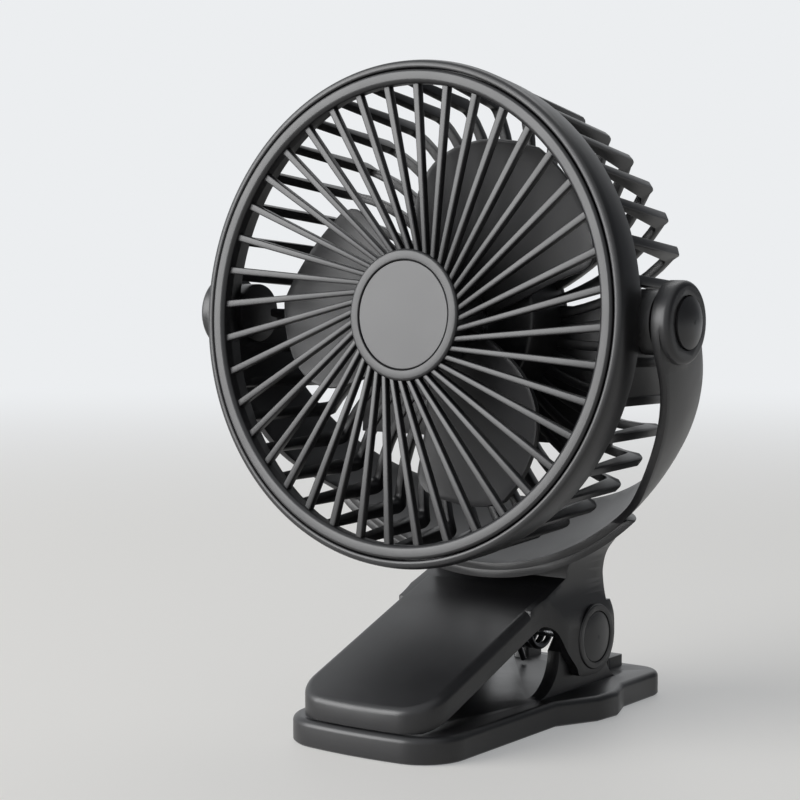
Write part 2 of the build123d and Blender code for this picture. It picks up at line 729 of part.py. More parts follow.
def make_yoke():
    hollow = Pos(0, PIVOT_Y, PIVOT_Z) * Box(2 * YOKE_INNER_HALF_WIDTH, FAR, 2 * FAR)
    inner = ball(YOKE_INNER_R) & hollow
    shell = (ball(YOKE_OUTER_R) - inner) & both_sides(yoke_side(), FAR)
    boss = rod_x(YOKE_BOSS_R, YOKE_INNER_HALF_WIDTH, YOKE_FLAT_X, PIVOT_Y, PIVOT_Z)
    boss = fillet(boss.faces().sort_by(Axis.X)[-1].edges(), YOKE_BOSS_ROUND)
    yoke = shell + [boss, mirrored(boss)]
    seat = rod_x(TILT_CAP_R + CAP_GROOVE, YOKE_FLAT_X - TILT_CAP_SEAT, FAR, PIVOT_Y, PIVOT_Z)
    yoke -= [seat, mirrored(seat)]
    yoke -= rod_x(TILT_PIN_R + 0.02, -FAR, FAR, PIVOT_Y, PIVOT_Z)
    for side in (-1, 1):
        screw = yoke_screw(side, PIN_FIT)
        yoke -= screw
    return yoke


def make_tilt_pin():
    inner = YOKE_INNER_HALF_WIDTH - TILT_WASHER_THICKNESS - TILT_PIN_REACH
    return rod_x(TILT_PIN_R, inner, YOKE_FLAT_X - TILT_CAP_SEAT, PIVOT_Y, PIVOT_Z)


def make_tilt_washer():
    x = YOKE_INNER_HALF_WIDTH - TILT_WASHER_THICKNESS
    washer = rod_x(TILT_WASHER_R, x, YOKE_INNER_HALF_WIDTH, PIVOT_Y, PIVOT_Z)
    return washer - rod_x(TILT_PIN_R + PIN_FIT, x - 1, x + 5, PIVOT_Y, PIVOT_Z)


def make_tilt_cap():
    seat = YOKE_FLAT_X - TILT_CAP_SEAT
    return domed_cap(TILT_CAP_R, seat, TILT_CAP_SEAT + TILT_CAP_DOME, PIVOT_Y, PIVOT_Z)


# ---- head: drawn in its own frame, +Y to the back ----
def shroud_section():
    """Half section of the shroud's wall, with the rim that frames the grille ring."""
    seat_r = RING_R + CAP_GROOVE
    inner_r = seat_r - GRILLE_SEAT_LEDGE
    inner_rear = SHROUD_REAR_R - SHROUD_WALL
    lip = (seat_r, RIM_FRONT_Y + 1.0)
    crest = ((seat_r + RIM_R) / 2, RIM_FRONT_Y)
    rim = (RIM_R, RIM_FRONT_Y + RIM_ROUND)
    rear = (SHROUD_REAR_R, SHROUD_REAR_Y)
    return make_face(
        [
            Line((seat_r, GRILLE_SEAT_Y), lip),
            Spline(lip, crest, rim, tangents=[(0.5, -1), (0, 1)]),
            Line(rim, rear),
            Line(rear, (inner_rear, SHROUD_REAR_Y)),
            Line((inner_rear, SHROUD_REAR_Y), (inner_r, GRILLE_SEAT_Y)),
            Line((inner_r, GRILLE_SEAT_Y), (seat_r, GRILLE_SEAT_Y)),
        ]
    )


def side_rib():
    """Side part of a basket rib, at angle 0: a bar from the shroud's wall to the rear corner."""
    root_y = SHROUD_REAR_Y - 1.5
    root = (SHROUD_REAR_R - 0.1, root_y)
    foot = (SHROUD_REAR_R - SHROUD_WALL + 0.3, root_y)
    corner = (RIB_CORNER_R + 0.3, BASKET_REAR_Y - RIB_CORNER_ROUND)
    corner_r = RIB_CORNER_R - RIB_CORNER_ROUND
    middle = (RIB_CORNER_R - 0.29 * RIB_CORNER_ROUND + 0.2, BASKET_REAR_Y - 0.29 * RIB_CORNER_ROUND)
    inner_rear = RIB_CORNER_R - RIB_DEPTH
    inner_y = BASKET_REAR_Y - RIB_DEPTH
    profile = make_face(
        [
            Line(root, corner),
            ThreePointArc(corner, middle, (corner_r, BASKET_REAR_Y)),
            Line((corner_r, BASKET_REAR_Y), (inner_rear, BASKET_REAR_Y)),
            Line((inner_rear, BASKET_REAR_Y), (inner_rear, inner_y)),
            Line((inner_rear, inner_y), foot),
            Line(foot, root),
        ]
    )
    return Pos(0, 0, -RIB_WIDTH / 2) * extrude(profile, RIB_WIDTH)


def rear_rib():
    """Rear part of a basket rib: swirls in from the corner and meets the housing squarely."""
    outer_r = RIB_CORNER_R - RIB_CORNER_ROUND
    inner_r = HOUSING_R - HOUSING_WALL / 2
    middle_r = (outer_r + inner_r) / 2
    line = ThreePointArc(
        polar(outer_r, 0),
        polar(middle_r, -0.62 * RIB_SWIRL_DEG),
        polar(inner_r, -RIB_SWIRL_DEG),
    )
    strip = trace(line, RIB_WIDTH)
    plane = Plane(origin=(0, BASKET_REAR_Y, 0), x_dir=(1, 0, 0), z_dir=(0, -1, 0))
    return extrude(plane * strip, RIB_DEPTH)


def housing_section():
    """Half section of the round box behind the motor."""
    inner = HOUSING_R - HOUSING_WALL
    return polygon(
        (0, HOUSING_FRONT_Y),
        (HOUSING_R, HOUSING_FRONT_Y),
        (HOUSING_R, BASKET_REAR_Y),
        (inner, BASKET_REAR_Y),
        (inner, HOUSING_FRONT_Y + MOTOR_PLATE),
        (0, HOUSING_FRONT_Y + MOTOR_PLATE),
    )


def tilt_boss():
    """Round boss on the side of the shroud for a tilt pin."""
    end = YOKE_INNER_HALF_WIDTH - TILT_WASHER_THICKNESS
    start = RIM_R - TILT_PIN_REACH + 0.6
    return rod_x(TILT_BOSS_R, start, end, -HEAD_SETBACK)


def pivot_web():
    """Closed part of the basket's side below a tilt boss, down to the second rib."""
    root_y = SHROUD_REAR_Y - 1.0
    corner_y = BASKET_REAR_Y - RIB_CORNER_ROUND
    root_r = SHROUD_REAR_R - 0.4
    corner_r = RIB_CORNER_R - 0.2
    section = polygon(
        (root_r, root_y),
        (corner_r, corner_y),
        (corner_r - WEB_THICKNESS, corner_y),
        (root_r - WEB_THICKNESS, root_y),
    )
    reach = RIM_R + 1
    drop = reach * math.tan(math.radians(WEB_SPAN_DEG))
    wedge = polygon((0, 0), (reach, 0), (reach, -drop))
    plane = Plane(origin=(0, FAR / 2, 0), x_dir=(1, 0, 0), z_dir=(0, -1, 0))
    return turned(section) & extrude(plane * wedge, FAR)


def back_plate():
    """Flat plate across the lower back of the basket, let into the ribs, round the housing."""
    height = BACK_PLATE_TOP - BACK_PLATE_BOTTOM
    y = BASKET_REAR_Y - BACK_PLATE_INSET - BACK_PLATE_THICKNESS / 2
    z = (BACK_PLATE_TOP + BACK_PLATE_BOTTOM) / 2
    plate = Pos(0, y, z) * Box(2 * BACK_PLATE_HALF_WIDTH, BACK_PLATE_THICKNESS, height)
    return plate - rod_y(HOUSING_R - HOUSING_WALL / 2, 0, FAR)


def cover_screw_spots():
    """x and z of the screws that hold the rear cover."""
    return [polar(COVER_SCREW_RADIUS, 45 + 90 * k) for k in range(4)]


def make_rear_shroud():
    parts = [turned(housing_section())]
    rib = side_rib() + rear_rib()
    pitch = 360 / RIB_COUNT
    parts += [around(rib, pitch * k) for k in range(RIB_COUNT)]
    boss = tilt_boss()
    web = pivot_web()
    parts += [boss, mirrored(boss), web, mirrored(web), back_plate()]
    shroud = turned(shroud_section()).fuse(*parts)
    bosses = [
        rod_y(COVER_BOSS_R, HOUSING_FRONT_Y + 1, BASKET_REAR_Y - 1.6, x, z)
        for x, z in cover_screw_spots()
    ]
    shroud += bosses
    bore_end = RIM_R - TILT_PIN_REACH - 6.0
    for x, z in cover_screw_spots():
        shroud -= rod_y(COVER_SCREW_R + PIN_FIT, BASKET_REAR_Y - 12, BASKET_REAR_Y, x, z)
    shroud -= rod_x(TILT_PIN_R + PIN_FIT, -FAR, -bore_end, -HEAD_SETBACK)
    shroud -= rod_x(TILT_PIN_R + PIN_FIT, bore_end, FAR, -HEAD_SETBACK)
    for z in (-MOTOR_SCREW_Z, MOTOR_SCREW_Z):
        shroud -= rod_y(MOTOR_SCREW_R + PIN_FIT, 0, HOUSING_FRONT_Y + 5, 0, z)
    return shroud


def make_front_grille():
    inner = RING_R - RING_WIDTH
    ring = make_face(
        [
            Line((RING_R, GRILLE_SEAT_Y), (RING_R, RING_FRONT_Y + 1.1)),
            ThreePointArc(
                (RING_R, RING_FRONT_Y + 1.1),
                (RING_R - RING_WIDTH * 0.45, RING_FRONT_Y),
                (inner, RING_FRONT_Y + 1.8),
            ),
            Line((inner, RING_FRONT_Y + 1.8), (inner, GRILLE_SEAT_Y)),
            Line((inner, GRILLE_SEAT_Y), (RING_R, GRILLE_SEAT_Y)),
        ]
    )
    back = HUB_FRONT_Y + HUB_DEPTH
    floor = HUB_FRONT_Y + DISC_DROP + DISC_THICKNESS
    recess = DISC_R + 0.1
    hub = make_face(
        [
            Line((0, back), (0, floor)),
            Line((0, floor), (recess, floor)),
            Line((recess, floor), (recess, HUB_FRONT_Y + 0.5)),
            ThreePointArc(
                (recess, HUB_FRONT_Y + 0.5),
                ((recess + HUB_R) / 2, HUB_FRONT_Y),
                (HUB_R, HUB_FRONT_Y + 1.2),
            ),
            Line((HUB_R, HUB_FRONT_Y + 1.2), (HUB_R, back)),
            Line((HUB_R, back), (0, back)),
        ]
    )
    reach_in = math.sqrt((HUB_R - 1.0) ** 2 - SPOKE_OFFSET**2)
    reach_out = math.sqrt((RING_R - RING_WIDTH / 2) ** 2 - SPOKE_OFFSET**2)
    inner_y = HUB_FRONT_Y + 0.8 + SPOKE_DEPTH / 2
    outer_y = GRILLE_SEAT_Y - SPOKE_DEPTH / 2
    sections = []
    for x, y, width in (
        (reach_in, inner_y, SPOKE_INNER_WIDTH),
        (reach_out, outer_y, SPOKE_OUTER_WIDTH),
    ):
        place = Plane(origin=(x, y, -SPOKE_OFFSET), x_dir=(0, 1, 0), z_dir=(1, 0, 0))
        sections.append(place * RectangleRounded(SPOKE_DEPTH, width, 0.42 * width))
    spoke = loft(sections, ruled=True)
    pitch = 360 / SPOKE_COUNT
    spokes = [around(spoke, SPOKE_PHASE_DEG + pitch * k) for k in range(SPOKE_COUNT)]
    return turned(ring).fuse(turned(hub), *spokes)


def make_hub_disc():
    front = HUB_FRONT_Y + DISC_DROP
    disc = rod_y(DISC_R, front, front + DISC_THICKNESS)
    return fillet(disc.faces().sort_by(Axis.Y)[0].edges(), 0.4)


def blade_outline():
    """Front outline of one blade: a broad petal, fuller towards its front edge."""
    mid = BLADE_MID_DEG
    root = IMPELLER_HUB_R - 1.5
    front = [(root, mid + 60), (0.46 * BLADE_TIP_R, mid + 55), (0.66 * BLADE_TIP_R, mid + 47)]
    front += [(0.77 * BLADE_TIP_R, mid + 41), (0.9 * BLADE_TIP_R, mid + 27), (BLADE_TIP_R, mid + 9)]
    tip_end = polar(0.92 * BLADE_TIP_R, mid - 24)
    rear = [(0.87 * BLADE_TIP_R, mid - 28.5), (0.74 * BLADE_TIP_R, mid - 29.5)]
    rear += [(0.46 * BLADE_TIP_R, mid - 36), (root, mid - 47)]
    return make_face(
        [
            Spline(*[polar(*p) for p in front]),
            ThreePointArc(polar(*front[-1]), polar(0.97 * BLADE_TIP_R, mid - 8), tip_end),
            Spline(tip_end, *[polar(*p) for p in rear]),
            Line(polar(*rear[-1]), polar(*front[0])),
        ]
    )


def make_impeller():
    wall = IMPELLER_WALL
    cup = make_face(
        [
            Line((0, IMPELLER_FRONT_Y), (IMPELLER_HUB_R - 4, IMPELLER_FRONT_Y)),
            ThreePointArc(
                (IMPELLER_HUB_R - 4, IMPELLER_FRONT_Y),
                (IMPELLER_HUB_R - 1.17, IMPELLER_FRONT_Y + 1.17),
                (IMPELLER_HUB_R, IMPELLER_FRONT_Y + 4),
            ),
            Line((IMPELLER_HUB_R, IMPELLER_FRONT_Y + 4), (IMPELLER_HUB_R, IMPELLER_REAR_Y)),
            Line((IMPELLER_HUB_R, IMPELLER_REAR_Y), (IMPELLER_HUB_R - wall, IMPELLER_REAR_Y)),
            Line((IMPELLER_HUB_R - wall, IMPELLER_REAR_Y), (IMPELLER_HUB_R - wall, IMPELLER_FRONT_Y + 5)),
            Line((IMPELLER_HUB_R - wall, IMPELLER_FRONT_Y + 5), (IMPELLER_HUB_R - 5, IMPELLER_FRONT_Y + wall)),
            Line((IMPELLER_HUB_R - 5, IMPELLER_FRONT_Y + wall), (0, IMPELLER_FRONT_Y + wall)),
            Line((0, IMPELLER_FRONT_Y + wall), (0, IMPELLER_FRONT_Y)),
        ]
    )
    boss = rod_y(3.2 * SHAFT_R, IMPELLER_FRONT_Y + 1, MOTOR_FRONT_Y - 1.0)
    sections = []
    for reach, half_share, slant in BLADE_CUTS:
        x = reach * BLADE_TIP_R
        half = half_share * BLADE_TIP_R
        place = Plane(origin=(x, BLADE_MID_Y, 0), x_dir=(0, 0, 1), z_dir=(1, 0, 0))
        sections.append(place * Rot(0, 0, slant) * Rectangle(2.2 * half, BLADE_THICKNESS))
    slab = around(loft(sections, ruled=True), BLADE_MID_DEG)
    plane = Plane(origin=(0, 30, 0), x_dir=(1, 0, 0), z_dir=(0, -1, 0))
    blade = slab & extrude(plane * blade_outline(), 60)
    blade -= rod_y(IMPELLER_HUB_R - wall / 2, IMPELLER_FRONT_Y, 30)
    blades = [around(blade, 360 / BLADE_COUNT * k) for k in range(BLADE_COUNT)]
    wheel = turned(cup).fuse(boss, *blades)
    return wheel - rod_y(SHAFT_R, IMPELLER_FRONT_Y + 0.8, 0)


def make_motor_can():
    can = rod_y(MOTOR_R, MOTOR_FRONT_Y, HOUSING_FRONT_Y)
    can = fillet(can.faces().sort_by(Axis.Y)[0].edges(), 1.0)
    can -= rod_y(MOTOR_R - MOTOR_WALL, MOTOR_FRONT_Y + BUSHING_LENGTH, HOUSING_FRONT_Y - BUSHING_LENGTH)
    can -= rod_y(BUSHING_R, MOTOR_FRONT_Y - 1, HOUSING_FRONT_Y)
    for z in (-MOTOR_SCREW_Z, MOTOR_SCREW_Z):
        can -= rod_y(MOTOR_SCREW_R + PIN_FIT, HOUSING_FRONT_Y - BUSHING_LENGTH + 0.6, HOUSING_FRONT_Y, 0, z)
    return can


def make_bushing(y):
    bush = rod_y(BUSHING_R, y, y + BUSHING_LENGTH)
    return bush - rod_y(SHAFT_R + PIN_FIT, y - 1, y + BUSHING_LENGTH + 1)


def make_rotor():
    front = MOTOR_FRONT_Y + BUSHING_LENGTH + 1.5
    rear = HOUSING_FRONT_Y - BUSHING_LENGTH - 1.5
    return rod_y(ROTOR_R, front, rear) - rod_y(SHAFT_R, front - 1, rear + 1)


def make_shaft():
    return rod_y(SHAFT_R, IMPELLER_FRONT_Y + 0.8, HOUSING_FRONT_Y - 0.6)


def motor_screw(z):
    rear = HOUSING_FRONT_Y + MOTOR_PLATE
    head = rod_y(2 * MOTOR_SCREW_R, rear, rear + 1.0, 0, z)
    tip = HOUSING_FRONT_Y - BUSHING_LENGTH + 0.8
    return head + rod_y(MOTOR_SCREW_R, tip, rear + 0.5, 0, z)


def cover_height(radius):
    """y of the cover's domed outer face at a radius."""
    return BASKET_REAR_Y + COVER_EDGE + COVER_DOME * (1 - (radius / HOUSING_R) ** 2)


def make_rear_cover():
    edge = (HOUSING_R, BASKET_REAR_Y + COVER_EDGE)
    half = HOUSING_R / 2
    lip_r = HOUSING_R - HOUSING_WALL - 0.1
    lip_in = lip_r - 1.4
    inner_y = BASKET_REAR_Y + 0.2
    section = make_face(
        [
            ThreePointArc((0, cover_height(0)), (half, cover_height(half)), edge),
            Line(edge, (HOUSING_R, BASKET_REAR_Y)),
            Line((HOUSING_R, BASKET_REAR_Y), (lip_r, BASKET_REAR_Y)),
            Line((lip_r, BASKET_REAR_Y), (lip_r, BASKET_REAR_Y - 1.5)),
            Line((lip_r, BASKET_REAR_Y - 1.5), (lip_in, BASKET_REAR_Y - 1.5)),
            Line((lip_in, BASKET_REAR_Y - 1.5), (lip_in, inner_y)),
            ThreePointArc(
                (lip_in, inner_y),
                (half, cover_height(half) - COVER_WALL),
                (0, cover_height(0) - COVER_WALL),
            ),
            Line((0, cover_height(0) - COVER_WALL), (0, cover_height(0))),
        ]
    )
    cover = turned(section)
    for x, z in cover_screw_spots():
        cover += rod_y(COVER_BOSS_R, BASKET_REAR_Y - 1.6, BASKET_REAR_Y + 2.0, x, z)
        cover -= rod_y(COVER_SCREW_HEAD_R + 0.15, BASKET_REAR_Y, FAR, x, z)
        cover -= rod_y(COVER_SCREW_R + PIN_FIT, BASKET_REAR_Y - 5, FAR, x, z)
    cover -= rod_y(BUTTON_R + BUTTON_FIT, BASKET_REAR_Y - 5, FAR)
    cover -= rod_y(LENS_R, BASKET_REAR_Y - 5, FAR, 0, LENS_Z)
    cover -= socket_block(0.15, BASKET_REAR_Y - 5, FAR)
    return cover


def cover_screw(x, z):
    head = rod_y(COVER_SCREW_HEAD_R, BASKET_REAR_Y, BASKET_REAR_Y + 1.5, x, z)
    return head + rod_y(COVER_SCREW_R, BASKET_REAR_Y - 10, BASKET_REAR_Y + 0.5, x, z)


def socket_block(gap, y_from, y_to):
    """Stadium-shaped bar, the outline of the charging socket."""
    face = SlotOverall(SOCKET_WIDTH + 2 * gap, SOCKET_HEIGHT + 2 * gap)
    plane = Plane(origin=(0, y_from, SOCKET_Z), x_dir=(1, 0, 0), z_dir=(0, 1, 0))
    return extrude(plane * face, y_to - y_from)


def make_usb_socket():
    front = BOARD_Y + BOARD_THICKNESS
    rear = cover_height(-SOCKET_Z) - 0.3
    shell = socket_block(0, front, rear) - socket_block(-0.35, front + 1.5, rear + 1)
    plane = Plane(origin=(0, front + 1, SOCKET_Z), x_dir=(1, 0, 0), z_dir=(0, 1, 0))
    tongue = extrude(plane * Rectangle(SOCKET_WIDTH - 2.6, 0.7), rear - front - 2.2)
    return shell + tongue


def make_battery_cell():
    width, depth, height = CELL_SIZE
    middle = HOUSING_FRONT_Y + MOTOR_PLATE + 1.0 + CELL_GAP + depth / 2
    cell = Pos(0, middle, 0) * Box(width, depth, height)
    return fillet(cell.edges().filter_by(Axis.Z), depth * 0.4)


def make_circuit_board():
    board = rod_y(BOARD_R, BOARD_Y, BOARD_Y + BOARD_THICKNESS)
    for x, z in cover_screw_spots():
        board -= rod_y(COVER_BOSS_R + 0.2, BOARD_Y - 1, BOARD_Y + 3, x, z)
    return board


def make_button_switch():
    """Push switch on the board under the speed button."""
    rear = BOARD_Y + BOARD_THICKNESS
    case = Pos(0, rear + 1.0, 0) * Box(6.0, 2.0, 6.0)
    plunger_end = button_back() - BUTTON_TRAVEL - 0.05
    return case + rod_y(1.7, rear + 1.5, plunger_end)


def button_back():
    """y of the speed button's inner face at rest."""
    return cover_height(0) - COVER_WALL - BUTTON_FLANGE - 0.1


def make_speed_button():
    rear = cover_height(0) + BUTTON_PROUD
    button = rod_y(BUTTON_R, button_back(), rear)
    button = fillet(button.faces().sort_by(Axis.Y)[-1].edges(), 0.8)
    return button + rod_y(BUTTON_R + 1.0, button_back(), button_back() + BUTTON_FLANGE - 0.1)


def make_indicator_lens():
    return rod_y(LENS_R, BASKET_REAR_Y - 1.0, cover_height(LENS_Z) + 0.2, 0, LENS_Z)


def sides(shape):
    """Right and left copies of a piece made on the +X side."""
    return {"right": shape, "left": mirrored(shape)}


def main():
    nodes = {
        "base_plate": make_base_plate(),
        "base_sole": make_base_sole(),
        "base_jaw_pad": base_pad(0.05),
        "hinge_pin": make_hinge_pin(),
        "clip_spring": make_clip_spring(),
        "clip_lever": make_clip_lever(),
        "lever_jaw_pad": lever_pad(0.05),
        "yoke_bracket": make_yoke(),
        "yoke_screws": Compound(children=[yoke_screw(1, 0), yoke_screw(-1, 0)]),
    }
    paired = {
        "hinge_cap": make_hinge_cap(),
        "tilt_pin": make_tilt_pin(),
        "tilt_washer": make_tilt_washer(),
        "tilt_cap": make_tilt_cap(),
    }
    for name, shape in paired.items():
        for side, piece in sides(shape).items():
            nodes[f"{name}_{side}"] = piece
    head = {
        "rear_shroud": make_rear_shroud(),
        "front_grille": make_front_grille(),
        "hub_disc": make_hub_disc(),
        "impeller": make_impeller(),
        "motor_shaft": make_shaft(),
        "motor_rotor": make_rotor(),
        "motor_can": make_motor_can(),
        "motor_bushings": Compound(
            children=[make_bushing(MOTOR_FRONT_Y), make_bushing(HOUSING_FRONT_Y - BUSHING_LENGTH)]
        ),
        "motor_screws": Compound(children=[motor_screw(-MOTOR_SCREW_Z), motor_screw(MOTOR_SCREW_Z)]),
        "rear_cover": make_rear_cover(),
        "cover_screws": Compound(children=[cover_screw(x, z) for x, z in cover_screw_spots()]),
        "battery_cell": make_battery_cell(),
        "circuit_board": make_circuit_board(),
        "usb_socket": make_usb_socket(),
        "button_switch": make_button_switch(),
        "speed_button": make_speed_button(),
        "indicator_lens": make_indicator_lens(),
    }
    nodes.update({name: HEAD * shape for name, shape in head.items()})
    os.makedirs("parts", exist_ok=True)
    for name, shape in nodes.items():
        export_step(shape, f"parts/{name}.step")


main()
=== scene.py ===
import json
import logging
import math
from dataclasses import dataclass
from enum import Enum
from typing import Any, Sequence

import bmesh
import bpy
from mathutils import Matrix, Vector


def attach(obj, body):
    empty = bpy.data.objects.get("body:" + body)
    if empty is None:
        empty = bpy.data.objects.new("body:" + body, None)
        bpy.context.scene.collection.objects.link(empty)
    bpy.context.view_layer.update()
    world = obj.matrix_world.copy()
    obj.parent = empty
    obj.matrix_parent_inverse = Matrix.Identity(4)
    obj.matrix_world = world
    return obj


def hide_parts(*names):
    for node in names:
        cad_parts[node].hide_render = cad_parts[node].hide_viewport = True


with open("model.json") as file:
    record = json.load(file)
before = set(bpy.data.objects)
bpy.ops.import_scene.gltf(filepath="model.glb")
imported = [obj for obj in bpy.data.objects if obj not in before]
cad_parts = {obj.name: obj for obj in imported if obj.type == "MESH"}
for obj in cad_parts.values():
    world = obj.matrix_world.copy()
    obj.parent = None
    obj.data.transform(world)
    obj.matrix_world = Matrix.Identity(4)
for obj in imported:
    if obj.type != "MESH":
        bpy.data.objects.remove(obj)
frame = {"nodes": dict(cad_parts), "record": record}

# The clip fan's looks. Sizes are in millimetres in the classes and become metres in the meshes.
# The fan faces -Y. The head's pieces are drawn in the head's own frame, with +Y along the fan
# axis towards the back and the origin a set-back behind the tilt axis, and then moved into place.

log = logging.getLogger("clip_fan")

MM = 0.001
REST_PITCH = 3.6
PIVOT = Vector((0.0, -21.7, 127.6)) * MM
HEAD_SETBACK = 4.3
MERGE = 1e-6  # metres within which a worked mesh's points become one
NODE_MERGE = 2e-6  # the same for a CAD node's loose triangles
FLAT_DEG = 0.4  # faces that meet at less become one
SHARP_DEG = 32.0  # edges that turn by less stay as they are
FIN_SHARP_DEG = 60.0  # the same for bent thin pieces, of which only the rims are rounded
IN_PLACE = Matrix.Identity(4)
IN_HEAD = (
    Matrix.Translation(PIVOT)
    @ Matrix.Rotation(math.radians(-REST_PITCH), 4, "X")
    @ Matrix.Translation((0.0, HEAD_SETBACK * MM, 0.0))
)

Profile = Sequence[tuple[float, float]]


# ---------------------------------------------------------------- materials


def linear(hex_colour: str) -> tuple[float, float, float, float]:
    """Turns an sRGB hex colour into the linear colour that shaders take.

    Args:
        hex_colour: Six hexadecimal digits with a leading number sign.

    Returns:
        Linear red, green, blue and an alpha of 1.
    """
    parts = [int(hex_colour[k : k + 2], 16) / 255 for k in (1, 3, 5)]
    values = [v / 12.92 if v <= 0.04045 else ((v + 0.055) / 1.055) ** 2.4 for v in parts]
    return (values[0], values[1], values[2], 1.0)


def add_node(
    tree: bpy.types.NodeTree,
    kind: str,
    settings: dict[str, Any] | None = None,
    values: dict[Any, Any] | None = None,
    links: dict[Any, bpy.types.NodeSocket] | None = None,
) -> bpy.types.Node:
    """Adds one node, with its settings, its constant inputs and its links.

    Args:
        tree: Node tree that gets the node.
        kind: Blender's type name of the node.
        settings: Attributes of the node itself.
        values: Constants by input socket.
        links: Sockets to link from, by input socket.

    Returns:
        The new node.
    """
    node = tree.nodes.new(kind)
    for name, value in (settings or {}).items():
        setattr(node, name, value)
    for socket, value in (values or {}).items():
        node.inputs[socket].default_value = value
    for socket, source in (links or {}).items():
        tree.links.new(source, node.inputs[socket])
    return node


class Surface(Enum):
    """How a surface was made, which decides the pattern of its relief."""

    SPARK_ERODED = "fine pits left by the mould"
    DRAWN = "fine lines along X"
    TURNED = "fine rings about the fan axis"
    WOVEN = "glass cloth under lacquer"
    CRINKLED = "soft folds of foil"
    POLISHED = "smooth, with faint waviness"


@dataclass(frozen=True)
class Finish:
    """One real finish: a base material and the way its surface was made.

    Attributes:
        name: Common name of the material and of its making.
        colour: sRGB hex of the material in plain light.
        shade: sRGB hex of its darker patches.
        surface: How the surface was made.
        relief_mm: Size of one pit, line or thread.
        depth_mm: Height of that relief.
        patch_mm: Size of the slow patches of colour and gloss.
        roughness: Roughness between the patches.
        roughness_swing: How far the patches change the roughness.
        ior: Index of refraction.
        metallic: 1 for a metal.
        transmission: Share of light that passes through.
        coat: Weight of a clear coat.
    """

    name: str
    colour: str
    shade: str
    surface: Surface
    relief_mm: float
    depth_mm: float
    patch_mm: float
    roughness: float
    roughness_swing: float
    ior: float = 1.5
    metallic: float = 0.0
    transmission: float = 0.0
    coat: float = 0.0

    def relief(self, tree: bpy.types.NodeTree, place: bpy.types.NodeSocket) -> bpy.types.NodeSocket:
        """Adds the nodes of the surface's relief.

        Args:
            tree: The material's node tree.
            place: Socket that gives the point in the object's own metres.

        Returns:
            Socket of the relief's height, from 0 to 1.
        """
        per_metre = 1 / (self.relief_mm * MM)
        if self.surface is Surface.DRAWN:
            stretch = add_node(
                tree, "ShaderNodeMapping", values={"Scale": (0.02, 1.0, 1.0)}, links={"Vector": place}
            )
            lines = add_node(
                tree, "ShaderNodeTexNoise", values={"Scale": per_metre, "Detail": 2.0},
                links={"Vector": stretch.outputs["Vector"]},
            )
            return lines.outputs["Fac"]
        if self.surface is Surface.TURNED:
            stretch = add_node(
                tree, "ShaderNodeMapping", values={"Location": tuple(-PIVOT)}, links={"Vector": place}
            )
            # The node draws rings 2 pi times wider than asked, as coarse as they need to be to show.
            rings = add_node(
                tree, "ShaderNodeTexWave",
                settings={"wave_type": "RINGS", "rings_direction": "Y"},
                values={"Scale": per_metre / 20, "Distortion": 0.4, "Detail": 1.0},
                links={"Vector": stretch.outputs["Vector"]},
            )
            return rings.outputs["Fac"]
        if self.surface is Surface.WOVEN:
            cloth = add_node(
                tree, "ShaderNodeTexBrick",
                values={
                    "Scale": per_metre,
                    "Mortar Size": 0.08,
                    "Color1": (1.0, 1.0, 1.0, 1.0),
                    "Color2": (0.6, 0.6, 0.6, 1.0),
                },
                links={"Vector": place},
            )
            return cloth.outputs["Color"]
        detail = {Surface.CRINKLED: 6.0, Surface.POLISHED: 0.0}.get(self.surface, 3.0)
        pits = add_node(
            tree, "ShaderNodeTexNoise",
            values={"Scale": per_metre, "Detail": detail, "Roughness": 0.6},
            links={"Vector": place},
        )
        return pits.outputs["Fac"]

    def build(self) -> bpy.types.Material:
        """Makes the procedural material of this finish.

        Returns:
            The material.
        """
        made = bpy.data.materials.new(self.name)
        made.use_nodes = True
        tree = made.node_tree
        tree.nodes.clear()
        place = add_node(tree, "ShaderNodeTexCoord").outputs["Object"]
        patches = add_node(
            tree, "ShaderNodeTexNoise",
            values={"Scale": 1 / (self.patch_mm * MM), "Detail": 4.0, "Roughness": 0.55},
            links={"Vector": place},
        )
        tone = add_node(
            tree, "ShaderNodeMix", settings={"data_type": "RGBA"},
            values={6: linear(self.shade), 7: linear(self.colour)},
            links={0: patches.outputs["Fac"]},
        )
        gloss = add_node(
            tree, "ShaderNodeMapRange",
            values={
                "From Min": 0.3,
                "From Max": 0.7,
                "To Min": self.roughness - self.roughness_swing,
                "To Max": self.roughness + self.roughness_swing,
            },
            links={"Value": patches.outputs["Fac"]},
        )
        bump = add_node(
            tree, "ShaderNodeBump",
            values={"Strength": 1.0, "Distance": self.depth_mm * MM},
            links={"Height": self.relief(tree, place)},
        )
        shader = add_node(
            tree, "ShaderNodeBsdfPrincipled",
            values={
                "IOR": self.ior,
                "Metallic": self.metallic,
                "Transmission Weight": self.transmission,
                "Coat Weight": self.coat,
                "Coat Roughness": 0.12,
            },
            links={
                "Base Color": tone.outputs[2],
                "Roughness": gloss.outputs["Result"],
                "Normal": bump.outputs["Normal"],
            },
        )
        add_node(tree, "ShaderNodeOutputMaterial", links={"Surface": shader.outputs["BSDF"]})
        return made


# Injection-moulded ABS, spark-eroded mould: near black with a soft, wide sheen. The mould's
# pits are about 0.08 mm; they are drawn at 0.3 mm so that they show at all.
SATIN_ABS = Finish(
    "satin_moulded_abs", "#1d1d1f", "#19191b", Surface.SPARK_ERODED, 0.3, 0.01, 14.0, 0.38, 0.025, 1.54
)
# The same plastic from a smoother insert: the disc in the hub and the pivot caps.
FINE_ABS = Finish(
    "fine_moulded_abs", "#222224", "#1f1f21", Surface.SPARK_ERODED, 0.25, 0.006, 16.0, 0.34, 0.015, 1.54
)
